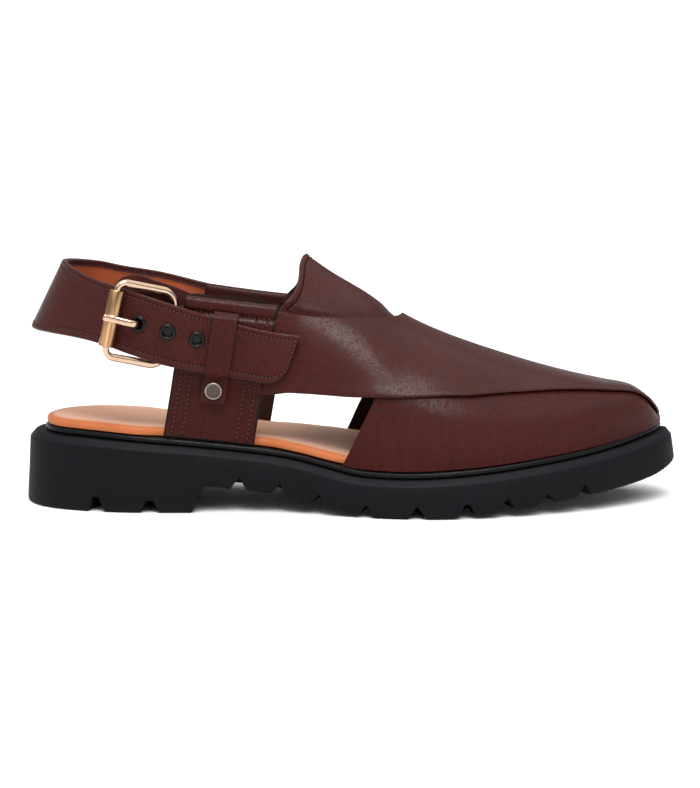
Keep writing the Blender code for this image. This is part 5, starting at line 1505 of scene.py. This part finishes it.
def keeper_surface(u, v, off):
    top, foot = np.array(keeper_place(*KEEPER_TOP)), np.array(keeper_place(*KEEPER_FOOT))
    spot = top + (foot - top) * np.asarray(u)[..., None]
    side = (v - 0.5) * KEEPER_WIDTH
    low = SIDE_STRAP_FOLD + KEEPER_GAP
    high = SIDE_STRAP_FOLD * KEEPER_RISE + HEEL_STRAP_THICKNESS + KEEPER_GAP
    lift = low + (high - low) * curve(KEEPER_RUN, u)
    return side_point(LATERAL, spot[..., 0] + side, spot[..., 1] - side * KEEPER_TILT, lift + off)


sheet("keeper_loop", keeper_surface, 0.0, KEEPER_THICKNESS, radius=0.0005, counts=(120, 20),
      finishes=[BROWN, BLACK_EDGE, BROWN_LINING], replaces=["keeper"])

# %% The rivet
x, height = keeper_place(*RIVET_SEAT)
outer = side_point(LATERAL, x, height, SIDE_STRAP_FOLD + SEAT_GAP + KEEPER_THICKNESS)
rivet_axis = unit(outer - side_point(LATERAL, x, height, 0.0))
RIVET_RADIUS = 0.0040
rivet_profile = [
    (0.0, -0.0075), (0.0028, -0.0075), (0.0030, -0.0068), (0.0015, -0.0066), (0.0015, 0.0), (RIVET_RADIUS, 0.0),
    (RIVET_RADIUS * 1.01, 0.0004), (RIVET_RADIUS * 0.98, 0.0008), (RIVET_RADIUS * 0.90, 0.0011),
    (RIVET_RADIUS * 0.82, 0.0011), (RIVET_RADIUS * 0.76, 0.0009), (RIVET_RADIUS * 0.5, 0.00095), (0.0, 0.0010),
]
# Distance of each of those rings to the cap's rim, which is coloured paler.
rivet_edge = [1, 1, 1, 1, 1, 0, 0, 0, 0, 0.0003, 0.001, 1, 1]
turned("rivet_cap", outer, rivet_axis, rivet_profile, [NICKEL], "dark_metal", ["rivet"], edge=rivet_edge,
       smooth_angle=50)

# %% [markdown]
# ## Loops and stitches
# Two loops at the end of the outer arm hold the hinge bar. The stitches are threads of their own: each is a short
# capsule that dips into the leather at both ends, laid along a line at a set distance from the edge. A dashed line in
# the leather's finish would be lighter to draw, but only real threads catch the light on one side.

# %% The arm's loops
LOOP_SLOT, LOOP_WALL, LOOP_SOFT = 0.0060, 0.0014, 0.0004
loop_length = (BUCKLE_HEIGHT - 2 * HINGE_CORNER - LOOP_SLOT) / 2 - SEAT_GAP
loop_radius, reach = bore + LOOP_WALL, loop_length / 2
loop_profile = [
    (bore, -reach), (loop_radius - LOOP_SOFT, -reach), (loop_radius, -reach + LOOP_SOFT),
    (loop_radius, reach - LOOP_SOFT), (loop_radius - LOOP_SOFT, reach), (bore, reach),
]
for sign, label in ((1, "upper"), (-1, "lower")):
    middle = hinge_middle + buckle_up * sign * (LOOP_SLOT + loop_length) / 2
    turned(f"hinge_loop_{label}", middle, buckle_up, loop_profile, [BROWN], "brown_leather", ["upper"], sides=40)


# %% Threads
THREAD_RADIUS, THREAD_SIDES = 0.00038, 6
# A stitch's rings: place along it, height over the leather and size, shares of its length and of its radius.
STITCH_RINGS = (
    (-0.50, -1.0, 0.55), (-0.40, 0.1, 0.9), (-0.18, 0.55, 1.0), (0.18, 0.55, 1.0), (0.40, 0.1, 0.9),
    (0.50, -1.0, 0.55),
)


def stitches(name, rows, pitch=0.0018, gap=0.0005):
    """Threads along rows of points and outward directions."""
    points, faces, ends = [], [], []
    angle = 2 * math.pi * np.arange(THREAD_SIDES) / THREAD_SIDES
    for line, outward in rows:
        run = lengths(line)
        for middle in np.arange(pitch / 2, run[-1], pitch):
            here, normal = read_at(middle, run, line), unit(read_at(middle, run, outward))
            ahead = unit(read_at(middle + 0.0005, run, line) - read_at(middle - 0.0005, run, line))
            ring = np.cos(angle)[:, None] * np.cross(ahead, normal) + np.sin(angle)[:, None] * normal
            first = len(points) * THREAD_SIDES
            last = first + (len(STITCH_RINGS) - 1) * THREAD_SIDES
            for share, up, size in STITCH_RINGS:
                centre = here + ahead * share * (pitch - gap) + normal * up * THREAD_RADIUS * 0.6
                points.append(centre + ring * THREAD_RADIUS * size)
            faces += grid_faces(len(STITCH_RINGS), THREAD_SIDES, start=first, closed=True)
            start, end = range(first + THREAD_SIDES - 1, first - 1, -1), range(last, last + THREAD_SIDES)
            ends += [(cap[0], cap[k], cap[k + 1]) for cap in (start, end) for k in range(1, THREAD_SIDES - 1)]
    return solid(name, np.concatenate(points), faces + ends, [THREAD], "brown_leather", smooth_angle=80)


def row_on(surface, u, v, off):
    """Points and outward directions along a line on a sheet's outer face."""
    points = surface(u, v, off + 0 * u)
    return points, unit(surface(u, v, off + 0.001 + 0 * u) - points)


def strap_rows(inset, off, facing):
    """The heel strap's two edge rows and the row across its free end, on its outer or its inner face."""
    u = np.linspace(SEAM_START, SEAM_END, 900)
    width = np.linalg.norm(heel_strap_surface(u, 0 * u + 1, 0 * u) - heel_strap_surface(u, 0 * u, 0 * u), axis=1)
    v = np.linspace(inset / width[-1], 1 - inset / width[-1], 80)
    lines = [(u, inset / width), (u, 1 - inset / width), (0 * v + SEAM_END, v)]
    rows = [row_on(heel_strap_surface, u, v, off) for u, v in lines]
    return [(points, facing * outward) for points, outward in rows]


print("a stitch has", len(STITCH_RINGS) * THREAD_SIDES, "points")

# %% The heel strap's stitches
SEAM_START, SEAM_END, SEAM_DEPTH = 0.004, 0.9915, 0.00022
outer_rows = strap_rows(SEAM_INSET, -SEAM_DEPTH, 1)
inner_rows = strap_rows(SEAM_INSET, -HEEL_STRAP_THICKNESS, -1)
stitches("heel_strap_stitches", outer_rows + inner_rows)

# %% The side straps' and the tongue's stitches
TONGUE_LENGTH = 0.066
side_rows = []
for side, shift in ((LATERAL, 0.0), (MEDIAL, MEDIAL_SHIFT)):
    surface = strap_surface(side, shift)
    v = np.linspace(0.02, 0.60, 200)
    for inset in SIDE_SEAMS:
        for u in (inset / SIDE_STRAP_WIDTH, 1 - inset / SIDE_STRAP_WIDTH):
            side_rows.append(row_on(surface, u + 0 * v, v, PLY / 2))
    u = np.linspace(0.06, 0.94, 120)
    for v in (SEAM_BELOW_FOLD, SEAM_INSIDE):
        side_rows.append(row_on(surface, u, 0 * u + v, PLY / 2))
stitches("side_strap_stitches", side_rows, pitch=0.0022, gap=0.0008)

u = np.linspace(0.02, 0.98, 300)
collar_row = row_on(tongue_surface, u, 0 * u + SEAM_INSET / TONGUE_LENGTH, TONGUE_TOP - 0.0001)
stitches("tongue_stitches", [collar_row], pitch=0.0016)

# %% [markdown]
# ## Floor, light and camera
# The shoe stands on a white sweep. A wide soft light from above and a pale surround keep its shadow short and soft,
# and two narrower lights from the front, one high and one low, draw the highlights on the leather and the metal. Area
# lamps would do as well, but distant lights need no placing when the shoe is resized. The camera stands about a metre
# away and a little above.

# %% Floor
FLOOR_REACH = 6.0
floor_mesh = bpy.data.meshes.new("floor")
floor_mesh.from_pydata([(a * FLOOR_REACH, b * FLOOR_REACH, 0) for a, b in ((-1, -1), (1, -1), (1, 1), (-1, 1))], [],
                       [(0, 1, 2, 3)])
floor = bpy.data.objects.new("floor", floor_mesh)
bpy.context.scene.collection.objects.link(floor)


def paper(start):
    return {"Base Color": place(start).noise(3.0).mix(shade(0.955, 0.955, 0.955), shade(0.965, 0.965, 0.965))}


floor_mesh.materials.append(finish("paper_white", {"Roughness": 0.9, "Specular IOR Level": 0.1}, paper))
print("the floor is", 2 * FLOOR_REACH, "m wide")

# %% Light
# Elevation and azimuth in degrees, power, and the angle over which the light is spread.
LIGHTS = {"soft": (84, -100, 1.95, 110), "key": (62, -89, 1.7, 28), "low": (44, -78, 0.70, 22)}
SKY_STRENGTH, HORIZON_STRENGTH = 0.34, 0.70
world = bpy.data.worlds.new("studio")
bpy.context.scene.world = world
world.use_nodes = True
backdrop = world.node_tree.nodes["Background"]
backdrop.inputs["Color"].default_value = (1.0, 1.0, 1.0, 1.0)
sky = Socket(world.node_tree, None)
direction = sky.node("ShaderNodeTexCoord", outlet=0)
height = direction.node("ShaderNodeSeparateXYZ", outlet=2, Vector=direction)
strength = SKY_STRENGTH + height.step(0.24, 0.06) * HORIZON_STRENGTH
world.node_tree.links.new(strength.socket, backdrop.inputs["Strength"])
for label, (elevation, azimuth, power, spread) in LIGHTS.items():
    lamp = bpy.data.lights.new(label, "SUN")
    lamp.energy, lamp.angle = power, math.radians(spread)
    holder = bpy.data.objects.new(label, lamp)
    holder.rotation_euler = (math.radians(90 - elevation), 0.0, math.radians(azimuth + 90))
    bpy.context.scene.collection.objects.link(holder)
print("lights:", ", ".join(LIGHTS))

# %% Camera
CAMERA_PLACE = (0.103, -0.970, 0.188)
CAMERA_PITCH = math.radians(8.15)
CAMERA_LENS, CAMERA_SENSOR = 95.3, 36.0
camera_data = bpy.data.cameras.new("camera")
camera_data.lens, camera_data.sensor_width = CAMERA_LENS, CAMERA_SENSOR
camera = bpy.data.objects.new("camera", camera_data)
camera.location = CAMERA_PLACE
camera.rotation_euler = (math.pi / 2 - CAMERA_PITCH, 0.0, 0.0)
bpy.context.scene.collection.objects.link(camera)
bpy.context.scene.camera = camera
bpy.context.scene.view_settings.view_transform = "Standard"
print("camera at", CAMERA_PLACE)

# %% [markdown] ## Last step The dressed shoe must keep the size of its solids, and the view layer is brought up to date.

# %% Bring the view layer up to date
bpy.context.view_layer.update()
